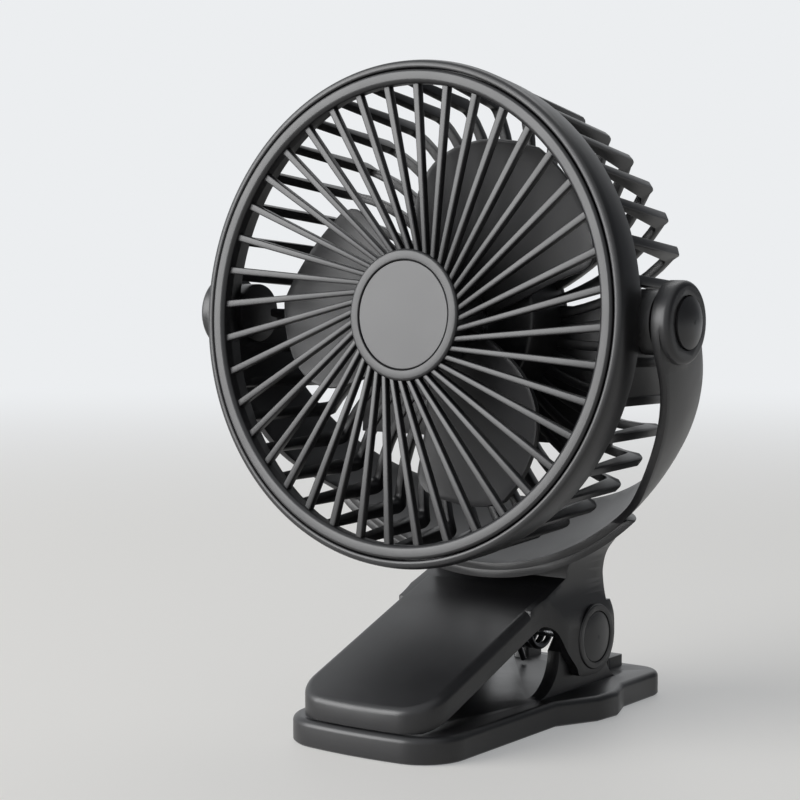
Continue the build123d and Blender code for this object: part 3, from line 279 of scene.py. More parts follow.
# Moulded polypropylene: waxier than the shell.
WAXY_PP = Finish(
    "moulded_polypropylene", "#202022", "#1b1b1d", Surface.POLISHED, 4.0, 0.02, 18.0, 0.4, 0.04, 1.49
)
# Soft moulded rubber: dead matt, with dust in its pores.
FOOT_RUBBER = Finish(
    "moulded_rubber", "#222223", "#1b1b1c", Surface.SPARK_ERODED, 0.4, 0.03, 5.0, 0.75, 0.08, 1.52
)
# Turned acetal washer: milky, slightly slippery.
ACETAL = Finish("turned_acetal", "#4a4a4a", "#424242", Surface.TURNED, 0.4, 0.01, 5.0, 0.35, 0.05, 1.48)
# Drawn steel rod: fine lines along its length.
DRAWN_STEEL = Finish(
    "drawn_steel", "#b4b5b8", "#9a9ca0", Surface.DRAWN, 0.15, 0.01, 6.0, 0.3, 0.06, metallic=1.0
)
# Oil-tempered spring wire: dark grey, with a little scale.
SPRING_WIRE = Finish(
    "spring_wire", "#77787c", "#55565a", Surface.SPARK_ERODED, 0.3, 0.01, 3.0, 0.36, 0.08, metallic=1.0
)
# Zinc-plated screw: bright with a faint bloom.
ZINC_PLATE = Finish(
    "zinc_plated_steel", "#9d9fa4", "#83858b", Surface.SPARK_ERODED, 0.25, 0.006, 2.0, 0.32, 0.08,
    metallic=1.0,
)
# Pressed motor can and socket shell: plated sheet.
PLATED_SHEET = Finish(
    "plated_sheet_steel", "#a9abae", "#94969a", Surface.POLISHED, 2.0, 0.01, 4.0, 0.28, 0.06, metallic=1.0
)
# Stacked laminations of the rotor.
LAMINATIONS = Finish(
    "laminated_steel", "#6c6d70", "#4f5053", Surface.DRAWN, 0.35, 0.03, 4.0, 0.45, 0.08, metallic=1.0
)
# Sintered bronze bushing: dull and porous.
BRONZE = Finish(
    "sintered_bronze", "#a67c45", "#7d5c33", Surface.SPARK_ERODED, 0.25, 0.03, 2.0, 0.45, 0.08, metallic=1.0
)
# Lacquered glass-fibre board, with the weave of its cloth under the lacquer.
BOARD = Finish(
    "lacquered_board", "#1d4a33", "#163c29", Surface.WOVEN, 0.5, 0.01, 3.0, 0.3, 0.05, 1.55, coat=0.4
)
# Laminated foil pouch of the cell.
POUCH = Finish(
    "laminated_foil", "#b9babc", "#a3a4a7", Surface.CRINKLED, 3.0, 0.12, 6.0, 0.3, 0.08, metallic=1.0
)
# Moulded nylon of the small push switch.
NYLON = Finish("moulded_nylon", "#2b2b2c", "#232324", Surface.SPARK_ERODED, 0.25, 0.01, 3.0, 0.45, 0.05, 1.53)
# Clear moulded acrylic of the indicator.
ACRYLIC = Finish(
    "moulded_acrylic", "#e9e9e4", "#dcdcd6", Surface.POLISHED, 2.0, 0.005, 3.0, 0.12, 0.04, 1.49,
    transmission=0.6,
)


class Palette:
    """Builds each finish once and puts it on pieces."""

    def __init__(self) -> None:
        """Starts with no material made."""
        self.made: dict[str, bpy.types.Material] = {}

    def material(self, finish: Finish) -> bpy.types.Material:
        """Gives the material of a finish, made on first use.

        Args:
            finish: The finish.

        Returns:
            Its material.
        """
        if finish.name not in self.made:
            self.made[finish.name] = finish.build()
        return self.made[finish.name]

    def dress(self, piece: bpy.types.Object, finish: Finish) -> None:
        """Gives a piece one finish all over."""
        piece.data.materials.clear()
        piece.data.materials.append(self.material(finish))

    def dress_node(self, node: str, finish: Finish) -> None:
        """Gives a carried-over CAD node one finish all over.

        Args:
            node: Name of the node.
            finish: Its finish.
        """
        slots = frame["nodes"][node].material_slots
        if not slots:
            frame["nodes"][node].data.materials.append(self.material(finish))
        for slot in slots:
            slot.material = self.material(finish)


CAD_FINISHES: dict[str, Finish] = {
    "base_plate": SATIN_ABS,
    "base_sole": FOOT_RUBBER,
    "base_jaw_pad": FOOT_RUBBER,
    "lever_jaw_pad": FOOT_RUBBER,
    "hinge_pin": DRAWN_STEEL,
    "clip_spring": SPRING_WIRE,
    "clip_lever": SATIN_ABS,
    "yoke_bracket": SATIN_ABS,
    "yoke_screws": ZINC_PLATE,
    "hinge_cap_right": FINE_ABS,
    "hinge_cap_left": FINE_ABS,
    "tilt_pin_right": DRAWN_STEEL,
    "tilt_pin_left": DRAWN_STEEL,
    "tilt_washer_right": ACETAL,
    "tilt_washer_left": ACETAL,
    "tilt_cap_right": FINE_ABS,
    "tilt_cap_left": FINE_ABS,
    "rear_shroud": SATIN_ABS,
    "front_grille": SATIN_ABS,
    "hub_disc": FINE_ABS,
    "impeller": WAXY_PP,
    "motor_shaft": DRAWN_STEEL,
    "motor_rotor": LAMINATIONS,
    "motor_can": PLATED_SHEET,
    "motor_bushings": BRONZE,
    "motor_screws": ZINC_PLATE,
    "rear_cover": SATIN_ABS,
    "cover_screws": ZINC_PLATE,
    "battery_cell": POUCH,
    "circuit_board": BOARD,
    "usb_socket": PLATED_SHEET,
    "button_switch": NYLON,
    "speed_button": FINE_ABS,
    "indicator_lens": ACRYLIC,
}


# ---------------------------------------------------------------- studio


@dataclass(frozen=True)
class SoftBox:
    """One soft rectangular lamp.

    Attributes:
        name: Name of the lamp.
        place: Its middle, in metres.
        size: Width and height, in metres.
        watts: Its power.
    """

    name: str
    place: tuple[float, float, float]
    size: tuple[float, float]
    watts: float


# The large window box lights the front from the left. The small one only lifts the upper back edge.
WINDOW_BOX = SoftBox("window_left", (-1.25, -1.7, 0.72), (1.9, 1.5), 62.0)
BACK_BOX = SoftBox("top_back", (-0.4, 1.2, 1.6), (1.2, 0.6), 3.0)


@dataclass
class Studio:
    """Pale floor, soft lamps and the camera of the photograph.

    Attributes:
        floor_colour: sRGB hex of the floor.
        sky_colour: sRGB hex that the camera sees behind the fan.
        dusk_colour: sRGB hex of the studio's far right, which keeps the fan's right side dark.
        dusk_side: Direction in plan of the dusk.
        dusk_edges: How far towards that side the dusk begins and is full, as a cosine.
        ambient: Strength of the even light from all round.
        floor_half_size: Half the floor's side, in metres.
        floor_grain: Grains of the floor's paint in a metre.
        floor_grain_depth: Height of the grain, in metres.
        floor_roughness: Roughness of the paint.
        floor_fade: Metres from the fan between which the floor fades into the sky.
        floor_glow: Share of the sky that the floor already shows beside the fan.
        target: Point that the lamps look at, in millimetres.
        camera_place: Where the camera stands, in millimetres.
        camera_down_deg: How far it looks below level.
        camera_turn_deg: How far it is turned from the fan's front, about the upright.
        lens_mm: Its focal length.
        sensor_mm: Width of its sensor.
    """

    floor_colour: str = "#f2eee7"
    sky_colour: str = "#eceef0"
    dusk_colour: str = "#6c6e72"
    dusk_side: tuple[float, float, float] = (0.8, 0.6, 0.0)
    dusk_edges: tuple[float, float] = (0.2, 0.85)
    ambient: float = 0.26
    floor_half_size: float = 3.0
    floor_grain: float = 60.0
    floor_grain_depth: float = 0.0002
    floor_roughness: float = 0.6
    floor_fade: tuple[float, float] = (0.35, 1.6)
    floor_glow: float = 0.35
    target: tuple[float, float, float] = (0.0, -10.0, 105.0)
    camera_place: tuple[float, float, float] = (349.75, -523.79, 147.52)
    camera_down_deg: float = 4.24
    camera_turn_deg: float = 35.92
    lens_mm: float = 90.0
    sensor_mm: float = 36.0

    def build(self) -> None:
        """Builds the world, the floor, the lamps and the camera."""
        self.build_world()
        self.build_floor()
        self.hang(WINDOW_BOX)
        self.hang(BACK_BOX)
        self.build_camera()

    def seen_directly(self, tree: bpy.types.NodeTree) -> bpy.types.NodeSocket:
        """Adds nodes that give 1 to rays from the camera, a reflection or a clear piece.

        Args:
            tree: Node tree of the world or of a material.

        Returns:
            Socket of that value, 0 for all other rays.
        """
        path = add_node(tree, "ShaderNodeLightPath")
        mirrored = add_node(
            tree, "ShaderNodeMath", settings={"operation": "MAXIMUM"},
            links={0: path.outputs["Is Camera Ray"], 1: path.outputs["Is Glossy Ray"]},
        )
        seen = add_node(
            tree, "ShaderNodeMath", settings={"operation": "MAXIMUM"},
            links={0: mirrored.outputs["Value"], 1: path.outputs["Is Transmission Ray"]},
        )
        return seen.outputs["Value"]

    def build_world(self) -> None:
        """Makes a world that is pale to the camera, dimmer as light and dusky on the far right."""
        world = bpy.data.worlds.new("studio")
        bpy.context.scene.world = world
        world.use_nodes = True
        tree = world.node_tree
        tree.nodes.clear()
        seen = self.seen_directly(tree)
        strength = add_node(
            tree, "ShaderNodeMapRange",
            values={"To Min": self.ambient, "To Max": 1.0},
            links={"Value": seen},
        )
        direction = add_node(tree, "ShaderNodeTexCoord").outputs["Generated"]
        rightward = add_node(
            tree, "ShaderNodeVectorMath", settings={"operation": "DOT_PRODUCT"},
            values={1: self.dusk_side}, links={0: direction},
        )
        begins, full = self.dusk_edges
        far_right = add_node(
            tree, "ShaderNodeMapRange", settings={"interpolation_type": "SMOOTHSTEP"},
            values={"From Min": begins, "From Max": full},
            links={"Value": rightward.outputs["Value"]},
        )
        unseen = add_node(
            tree, "ShaderNodeMath", settings={"operation": "SUBTRACT"}, values={0: 1.0},
            links={1: add_node(tree, "ShaderNodeLightPath").outputs["Is Camera Ray"]},
        )
        dusk = add_node(
            tree, "ShaderNodeMath", settings={"operation": "MULTIPLY"},
            links={0: far_right.outputs["Result"], 1: unseen.outputs["Value"]},
        )
        colour = add_node(
            tree, "ShaderNodeMix", settings={"data_type": "RGBA"},
            values={6: linear(self.sky_colour), 7: linear(self.dusk_colour)},
            links={0: dusk.outputs["Value"]},
        )
        light = add_node(
            tree, "ShaderNodeBackground",
            links={"Color": colour.outputs[2], "Strength": strength.outputs["Result"]},
        )
        add_node(tree, "ShaderNodeOutputWorld", links={"Surface": light.outputs["Background"]})

    def build_floor(self) -> None:
        """Lays the pale floor under the sole, which fades into the sky far from the fan."""
        shape = bmesh.new()
        bmesh.ops.create_grid(shape, x_segments=2, y_segments=2, size=self.floor_half_size)
        floor = finished(shape, "studio_floor", smooth=False)
        made = bpy.data.materials.new("painted_board")
        made.use_nodes = True
        tree = made.node_tree
        tree.nodes.clear()
        place = add_node(tree, "ShaderNodeTexCoord").outputs["Object"]
        grain = add_node(
            tree, "ShaderNodeTexNoise", values={"Scale": self.floor_grain, "Detail": 3.0},
            links={"Vector": place},
        )
        bump = add_node(
            tree, "ShaderNodeBump", values={"Strength": 0.2, "Distance": self.floor_grain_depth},
            links={"Height": grain.outputs["Fac"]},
        )
        paint = add_node(
            tree, "ShaderNodeBsdfPrincipled",
            values={"Base Color": linear(self.floor_colour), "Roughness": self.floor_roughness},
            links={"Normal": bump.outputs["Normal"]},
        )
        away = add_node(tree, "ShaderNodeVectorMath", settings={"operation": "LENGTH"}, links={0: place})
        near, far = self.floor_fade
        fade = add_node(
            tree, "ShaderNodeMapRange", settings={"interpolation_type": "SMOOTHSTEP"},
            values={"From Min": near, "From Max": far, "To Min": self.floor_glow},
            links={"Value": away.outputs["Value"]},
        )
        share = add_node(
            tree, "ShaderNodeMath", settings={"operation": "MULTIPLY"},
            links={0: fade.outputs["Result"], 1: self.seen_directly(tree)},
        )
        glow = add_node(tree, "ShaderNodeEmission", values={"Color": linear(self.sky_colour)})
        blend = add_node(
            tree, "ShaderNodeMixShader",
            links={0: share.outputs["Value"], 1: paint.outputs["BSDF"], 2: glow.outputs["Emission"]},
        )
        add_node(tree, "ShaderNodeOutputMaterial", links={"Surface": blend.outputs["Shader"]})
        floor.data.materials.append(made)

    def hang(self, lamp: SoftBox) -> None:
        """Hangs one lamp so that it looks at the fan.

        Args:
            lamp: The lamp.
        """
        data = bpy.data.lights.new(lamp.name, "AREA")
        data.shape = "RECTANGLE"
        data.size, data.size_y = lamp.size
        data.energy = lamp.watts
        box = bpy.data.objects.new(lamp.name, data)
        bpy.context.scene.collection.objects.link(box)
        box.location = lamp.place
        towards = Vector(self.target) * MM - Vector(lamp.place)
        box.rotation_euler = towards.to_track_quat("-Z", "Y").to_euler()

    def build_camera(self) -> None:
        """Puts the camera where the photograph was taken from."""
        data = bpy.data.cameras.new("photograph")
        data.sensor_width = self.sensor_mm
        data.lens = self.lens_mm
        data.clip_start = 0.05
        camera = bpy.data.objects.new("photograph", data)
        bpy.context.scene.collection.objects.link(camera)
        camera.location = Vector(self.camera_place) * MM
        tip, turn = math.radians(90 - self.camera_down_deg), math.radians(self.camera_turn_deg)
        camera.rotation_euler = (tip, 0.0, turn)
        bpy.context.scene.camera = camera
        bpy.context.scene.view_settings.view_transform = "Standard"


# ---------------------------------------------------------------- mesh work


def finished(
    shape: bmesh.types.BMesh,
    name: str,
    place: Matrix = IN_PLACE,
    smooth: bool = True,
    crease_deg: float = 35.0,
) -> bpy.types.Object:
    """Turns worked mesh into an object at the origin, with its place in its mesh.

    Args:
        shape: The mesh, in metres, in the frame that place moves into the fan's frame.
        name: Name of the piece.
        place: Moves the piece to its place.
        smooth: Whether faces are shaded smooth up to the crease angle.
        crease_deg: Edges sharper than this stay crisp.

    Returns:
        The linked object.
    """
    bmesh.ops.remove_doubles(shape, verts=shape.verts, dist=MERGE)
    bmesh.ops.recalc_face_normals(shape, faces=shape.faces)
    bmesh.ops.transform(shape, matrix=place, verts=shape.verts)
    for face in shape.faces:
        face.smooth = smooth
    mesh = bpy.data.meshes.new(name)
    shape.to_mesh(mesh)
    shape.free()
    if smooth:
        mesh.set_sharp_from_angle(angle=math.radians(crease_deg))
    piece = bpy.data.objects.new(name, mesh)
    bpy.context.scene.collection.objects.link(piece)
    return piece


def flat_face(shape: bmesh.types.BMesh, outline: Profile, rounded: dict[int, float]) -> bmesh.types.BMFace:
    """Adds a face in the plane of the fan axis, with some of its corners rounded.

    Args:
        shape: Mesh that gets the face.
        outline: Corners as (radius, y), in millimetres, in order.
        rounded: Millimetres to round off, by the corner's place in the outline.

    Returns:
        The face.
    """
    corners = [shape.verts.new((radius * MM, y * MM, 0.0)) for radius, y in outline]
    face = shape.faces.new(corners)
    for place, reach in rounded.items():
        bmesh.ops.bevel(
            shape, geom=[corners[place]], offset=reach * MM, segments=4, profile=0.5,
            affect="VERTICES", material=-1,
        )
    shape.faces.ensure_lookup_table()
    return face if face.is_valid else shape.faces[-1]


def lathe(
    shape: bmesh.types.BMesh, outline: Profile, rounded: dict[int, float] | None = None, steps: int = 180
) -> None:
    """Turns an outline about the fan axis.

    Args:
        shape: Mesh that gets the turned form.
        outline: Corners of the half section as (radius, y), in millimetres.
        rounded: Millimetres to round off, by the corner's place in the outline.
        steps: Facets in a full turn.
    """
    section = bmesh.new()
    flat_face(section, outline, rounded or {})
    bmesh.ops.delete(section, geom=section.faces[:], context="FACES_ONLY")
    bmesh.ops.spin(
        section, geom=section.verts[:] + section.edges[:], cent=(0, 0, 0), axis=(0, 1, 0),
        angle=math.tau, steps=steps, use_merge=True,
    )
    join(shape, section)


def join(shape: bmesh.types.BMesh, part: bmesh.types.BMesh) -> None:
    """Adds one mesh to another and frees it.

    Args:
        shape: Mesh that gets the part.
        part: The part, which is freed.
    """
    bmesh.ops.recalc_face_normals(part, faces=part.faces)
    carrier = bpy.data.meshes.new("carrier")
    part.to_mesh(carrier)
    part.free()
    shape.from_mesh(carrier)
    bpy.data.meshes.remove(carrier)


def repeat_around(part: bmesh.types.BMesh, count: int, phase_deg: float = 0.0) -> None:
    """Repeats a mesh evenly about the fan axis.

    Args:
        part: The mesh, which becomes the whole set.
        count: How many there are.
        phase_deg: Where the first one lies, counter-clockwise seen from the front.
    """
    bmesh.ops.rotate(
        part, verts=part.verts, cent=(0, 0, 0), matrix=Matrix.Rotation(math.radians(-phase_deg), 3, "Y")
    )
    bmesh.ops.spin(
        part, geom=part.verts[:] + part.edges[:] + part.faces[:], cent=(0, 0, 0), axis=(0, 1, 0),
        angle=math.tau * (count - 1) / count, steps=count - 1, use_duplicate=True,
    )


def round_edges(
    part: bmesh.types.BMesh, reach_mm: float, segments: int = 2, sharper_deg: float = SHARP_DEG
) -> None:
    """Rounds the edges of a mesh that are sharper than an angle.

    Args:
        part: The mesh.
        reach_mm: How far the rounding reaches from the edge.
        segments: Facets of the rounding.
        sharper_deg: Edges that turn by less stay as they are.
    """
    limit = math.radians(sharper_deg)
    sharp = [edge for edge in part.edges if len(edge.link_faces) == 2 and edge.calc_face_angle() > limit]
    bmesh.ops.bevel(
        part, geom=sharp, offset=reach_mm * MM, offset_type="OFFSET", segments=segments, profile=0.5,
        affect="EDGES", clamp_overlap=True, material=-1,
    )


def post(
    shape: bmesh.types.BMesh, radius: float, start: Vector, end: Vector, edge: float, sides: int = 48
) -> None:
    """Adds a round post with softened ends.

    Args:
        shape: Mesh that gets the post.
        radius: Its radius, in millimetres.
        start: Middle of one end, in millimetres.
        end: Middle of the other end.
        edge: Rounding of its ends, in millimetres.
        sides: Facets round it.
    """
    part = bmesh.new()
    length = (end - start).length
    bmesh.ops.create_cone(
        part, cap_ends=True, segments=sides, radius1=radius * MM, radius2=radius * MM, depth=length * MM
    )
    round_edges(part, edge)
    turn = (end - start).to_track_quat("Z", "Y").to_matrix().to_4x4()
    bmesh.ops.transform(part, matrix=Matrix.Translation((start + end) / 2 * MM) @ turn, verts=part.verts)
    join(shape, part)


def softened(node: str, name: str, reach_mm: float) -> bpy.types.Object:
    """Copies a CAD node with its triangles merged and its sharp edges rounded.

    Args:
        node: Name of the CAD node.
        name: Name of the new piece.
        reach_mm: How far the rounding reaches from an edge.

    Returns:
        The linked object.
    """
    shape = bmesh.new()
    shape.from_mesh(frame["nodes"][node].data)
    bmesh.ops.remove_doubles(shape, verts=shape.verts, dist=NODE_MERGE)
    bmesh.ops.dissolve_limit(
        shape, angle_limit=math.radians(FLAT_DEG), verts=shape.verts, edges=shape.edges, delimit={"NORMAL"}
    )
    round_edges(shape, reach_mm)
    return finished(shape, name, crease_deg=40.0)


@dataclass
class Grille:
    """Front grille: a ring, straight spokes that pass beside the axis, and the hub.

    Radii, y values along the fan axis and widths are in millimetres, in the head's frame.

    Attributes:
        ring_crown: Slope of the ring's inner edge, as (outwards, backwards).
        ring_edge: Slope of its outer edge, as (inwards, backwards).
        hub_round: Rounding of the hub's outer edge.
        spoke_root: How far the spokes reach into the hub.
        spoke_drop: How far their fronts lie behind the hub's.
        spoke_round: Rounding of their edges, as a share of their inner width.
        spoke_offset: How far the line of a spoke passes beside the axis.
    """

    ring_r: float = 72.9
    ring_width: float = 4.2
    ring_front: float = -24.8
    ring_crown: tuple[float, float] = (0.9, 1.1)
    ring_edge: tuple[float, float] = (0.6, 0.6)
    seat: float = -20.8
    hub_r: float = 19.8
    hub_front: float = -22.6
    hub_depth: float = 3.4
    hub_round: float = 0.9
    recess_r: float = 16.5
    recess_depth: float = 1.9
    spoke_count: int = 40
    spoke_offset: float = 8.3
    spoke_phase_deg: float = 5.1
    spoke_depth: float = 2.4
    spoke_root: float = 1.0
    spoke_drop: float = 0.8
    spoke_round: float = 0.24
    spoke_widths: tuple[float, float] = (1.6, 2.3)

    def ring(self, shape: bmesh.types.BMesh) -> None:
        """Adds the ring, crowned towards its outer half.

        Args:
            shape: Mesh that gets the ring.
        """
        inner = self.ring_r - self.ring_width
        crown_in, crown_back = self.ring_crown
        edge_in, edge_back = self.ring_edge
        outline = [
            (inner, self.seat),
            (inner, self.ring_front + crown_back),
            (inner + crown_in, self.ring_front + 0.1),
            (self.ring_r - edge_in, self.ring_front),
            (self.ring_r, self.ring_front + edge_back),
            (self.ring_r, self.seat),
        ]
        lathe(shape, outline, {1: 0.4, 2: 0.5, 3: 0.35, 4: 0.3})

    def hub(self, shape: bmesh.types.BMesh) -> None:
        """Adds the hub: a shallow dish with a rounded rim round the disc.

        Args:
            shape: Mesh that gets the hub.
        """
        back = self.hub_front + self.hub_depth
        floor = self.hub_front + self.recess_depth
        outline = [
            (0.0, back),
            (self.hub_r, back),
            (self.hub_r, self.hub_front),
            (self.recess_r, self.hub_front),
            (self.recess_r, floor),
            (0.0, floor),
        ]
        lathe(shape, outline, {1: 0.4, 2: self.hub_round, 3: 0.4})

    def spokes(self, shape: bmesh.types.BMesh) -> None:
        """Adds the spokes, a little wider and further forward at the ring.

        Args:
            shape: Mesh that gets the spokes.
        """
        inner_x = math.sqrt((self.hub_r - self.spoke_root) ** 2 - self.spoke_offset**2)
        outer_x = math.sqrt((self.ring_r - self.ring_width / 2) ** 2 - self.spoke_offset**2)
        inner_y = self.hub_front + self.spoke_drop + self.spoke_depth / 2
        outer_y = self.seat - self.spoke_depth / 2
        inner_width, outer_width = self.spoke_widths
        part = bmesh.new()
        bmesh.ops.create_cube(part, size=1.0)
        length = outer_x - inner_x
        bmesh.ops.scale(part, verts=part.verts, vec=Vector((length, self.spoke_depth, inner_width)) * MM)
        far_end = [vert for vert in part.verts if vert.co.x > 0]
        bmesh.ops.scale(part, verts=far_end, vec=(1.0, 1.0, outer_width / inner_width))
        bmesh.ops.translate(part, verts=far_end, vec=(0.0, (outer_y - inner_y) * MM, 0.0))
        round_edges(part, self.spoke_round * inner_width, segments=3)
        middle = Vector(((inner_x + outer_x) / 2, inner_y, -self.spoke_offset)) * MM
        bmesh.ops.translate(part, verts=part.verts, vec=middle)
        repeat_around(part, self.spoke_count, self.spoke_phase_deg)
        join(shape, part)

    def build(self, palette: "Palette") -> bpy.types.Object:
        """Builds the grille in one moulding.

        Args:
            palette: Holds the materials.

        Returns:
            The seated piece.
        """
        shape = bmesh.new()
        self.ring(shape)
        self.hub(shape)
        self.spokes(shape)
        return place_piece(shape, "grille_moulding", IN_HEAD, "head", ["front_grille"], SATIN_ABS, palette)


@dataclass
class Basket:
    """Shroud and rear basket: a tapering wall, swept ribs, the housing and the pivot bosses.

    Sizes are in millimetres, in the head's frame.

    Attributes:
        rim_inner_step: Slope of the rim's inner edge, as (outwards, backwards).
        rim_outer_step: Slope of its front's outer edge, as (inwards, backwards).
        rib_lap: How far a rib runs up over the wall's rear.
        rib_edge: Rounding of the ribs' edges.
        rib_cuts: Parts that a rib's back is cut into, so that it can bend.
        swirl_deg: How far a rib is turned at the housing.
        web_span_deg: How far the closed part beside a pivot reaches round the wall.
        plate_inset: How far the back plate lies inside the ribs' backs.
    """

    rim_r: float = 76.0
    rim_front: float = -24.4
    rim_round: float = 2.8
    rim_inner_step: tuple[float, float] = (0.6, 0.4)
    rim_outer_step: tuple[float, float] = (0.5, 0.35)
    seat_r: float = 73.25
    seat: float = -20.8
    ledge: float = 1.6
    wall: float = 2.2
    wall_rear_r: float = 75.0
    wall_rear: float = -11.5
    rib_count: int = 40
    rib_width: float = 3.0
    rib_depth: float = 3.2
    rib_lap: float = 1.5
    rib_edge: float = 0.55
    rib_cuts: int = 9
    corner_r: float = 70.7
    corner_round: float = 2.4
    rear: float = 25.0
    swirl_deg: float = 12.7
    housing_r: float = 28.0
    housing_wall: float = 1.8
    housing_front: float = 6.4
    motor_plate: float = 2.0
    boss_r: float = 9.4
    boss_end: float = 78.6
    boss_start: float = 70.4
    boss_round: float = 0.6
    web_span_deg: float = 18.0
    web_thickness: float = 1.8
    plate_half_width: float = 47.0
    plate_top: float = 5.0
    plate_bottom: float = -37.5
    plate_thickness: float = 2.0
    plate_inset: float = 0.6
    plate_round: float = 0.3
    screw_count: int = 4
    screw_first_deg: float = 45.0
    screw_circle_r: float = 22.3
    screw_post_r: float = 3.2
    screw_post_drop: float = 1.6

    def wall_and_rim(self, shape: bmesh.types.BMesh) -> None:
        """Adds the tapering wall with the rounded rim and the seat of the grille.

        Args:
            shape: Mesh that gets the wall.
        """
        inner_out, inner_back = self.rim_inner_step
        outer_in, outer_back = self.rim_outer_step
        outline = [
            (self.seat_r, self.seat),
            (self.seat_r, self.rim_front + inner_back),
            (self.seat_r + inner_out, self.rim_front),
            (self.rim_r - outer_in, self.rim_front + outer_back),
            (self.rim_r, self.rim_front + self.rim_round),
            (self.wall_rear_r, self.wall_rear),
            (self.wall_rear_r - self.wall, self.wall_rear),
            (self.seat_r - self.ledge, self.seat),
        ]
        lathe(shape, outline, {1: 0.3, 2: 0.4, 3: 0.7, 5: 0.5, 6: 0.5}, steps=240)

    def swirled(self, part: bmesh.types.BMesh) -> None:
        """Bends the rear of a rib: the further in from the corner, the more it is turned.

        Args:
            part: The rib.
        """
        start = self.corner_r - self.corner_round
        run = start - self.housing_r
        for vert in part.verts:
            share = min(1.0, max(0.0, (start - vert.co.x / MM) / run))
            turn = math.radians(self.swirl_deg * (1.5 * share - 0.5 * share**2))  # eases off inwards
            vert.co.rotate(Matrix.Rotation(turn, 3, "Y"))

    def ribs(self, shape: bmesh.types.BMesh) -> None:
        """Adds the ribs, each a fin along the wall that turns in at the corner and swirls.

        Args:
            shape: Mesh that gets the ribs.
        """
        inner_end = self.housing_r - self.housing_wall / 2
        outline = [
            (self.wall_rear_r - 0.1, self.wall_rear - self.rib_lap),
            (self.corner_r + 0.3, self.rear - self.corner_round),
            (self.corner_r - 0.5, self.rear - 0.5),
            (self.corner_r - self.corner_round, self.rear),
            (inner_end, self.rear),
            (inner_end, self.rear - self.rib_depth),
            (self.corner_r - self.rib_depth - 1.0, self.rear - self.rib_depth),
            (self.wall_rear_r - self.wall + 0.3, self.wall_rear - self.rib_lap),
        ]
        part = bmesh.new()
        face = flat_face(part, outline, {2: 1.0, 6: 1.5})
        solid = bmesh.ops.extrude_face_region(part, geom=[face])
        moved = [item for item in solid["geom"] if isinstance(item, bmesh.types.BMVert)]
        bmesh.ops.translate(part, verts=moved, vec=(0.0, 0.0, self.rib_width * MM))
        bmesh.ops.translate(part, verts=part.verts, vec=(0.0, 0.0, -self.rib_width / 2 * MM))
        bmesh.ops.recalc_face_normals(part, faces=part.faces)
        round_edges(part, self.rib_edge, sharper_deg=FIN_SHARP_DEG)
        for k in range(1, self.rib_cuts):
            radius = inner_end + (self.corner_r - self.corner_round - inner_end) * k / self.rib_cuts
            everything = part.verts[:] + part.edges[:] + part.faces[:]
            bmesh.ops.bisect_plane(part, geom=everything, plane_co=(radius * MM, 0, 0), plane_no=(1, 0, 0))
        self.swirled(part)
        repeat_around(part, self.rib_count)
        join(shape, part)

    def housing(self, shape: bmesh.types.BMesh) -> None:
        """Adds the cup behind the motor and the posts of the cover's screws.

        Args:
            shape: Mesh that gets the cup.
        """
        inner = self.housing_r - self.housing_wall
        outline = [
            (0.0, self.housing_front),
            (self.housing_r, self.housing_front),
            (self.housing_r, self.rear),
            (inner, self.rear),
            (inner, self.housing_front + self.motor_plate),
            (0.0, self.housing_front + self.motor_plate),
        ]
        lathe(shape, outline, {1: 1.2, 2: 0.4}, steps=120)
        for k in range(self.screw_count):
            angle = math.radians(self.screw_first_deg + 360 / self.screw_count * k)
            x, z = self.screw_circle_r * math.cos(angle), self.screw_circle_r * math.sin(angle)
            start = Vector((x, self.housing_front + 1.0, z))
            end = Vector((x, self.rear - self.screw_post_drop, z))
            post(shape, self.screw_post_r, start, end, 0.3, sides=24)

    def pivots(self, shape: bmesh.types.BMesh) -> None:
        """Adds the two tilt bosses and the closed parts of the side below them.

        Args:
            shape: Mesh that gets the bosses.
        """
        # The closed parts stop just inside the ribs' outer line and just under the wall's rear.
        corner = self.corner_r - 0.2
        corner_y = self.rear - self.corner_round
        root = self.wall_rear_r - 0.4
        root_y = self.wall_rear - 1.0
        outline = [
            (root, root_y),
            (corner, corner_y),
            (corner - self.web_thickness, corner_y),
            (root - self.web_thickness, root_y),
        ]
        span = math.radians(self.web_span_deg)
        for side in (1.0, -1.0):
            start = Vector((side * self.boss_start, -HEAD_SETBACK, 0.0))
            end = Vector((side * self.boss_end, -HEAD_SETBACK, 0.0))
            post(shape, self.boss_r, start, end, self.boss_round, sides=72)
            web = bmesh.new()
            flat_face(web, outline, {})
            if side < 0:
                half_turn = Matrix.Rotation(math.pi, 3, "Y")
                bmesh.ops.rotate(web, verts=web.verts, cent=(0, 0, 0), matrix=half_turn)
            bmesh.ops.spin(
                web, geom=web.verts[:] + web.edges[:] + web.faces[:], cent=(0, 0, 0), axis=(0, 1, 0),
                angle=side * span, steps=8,
            )
            join(shape, web)

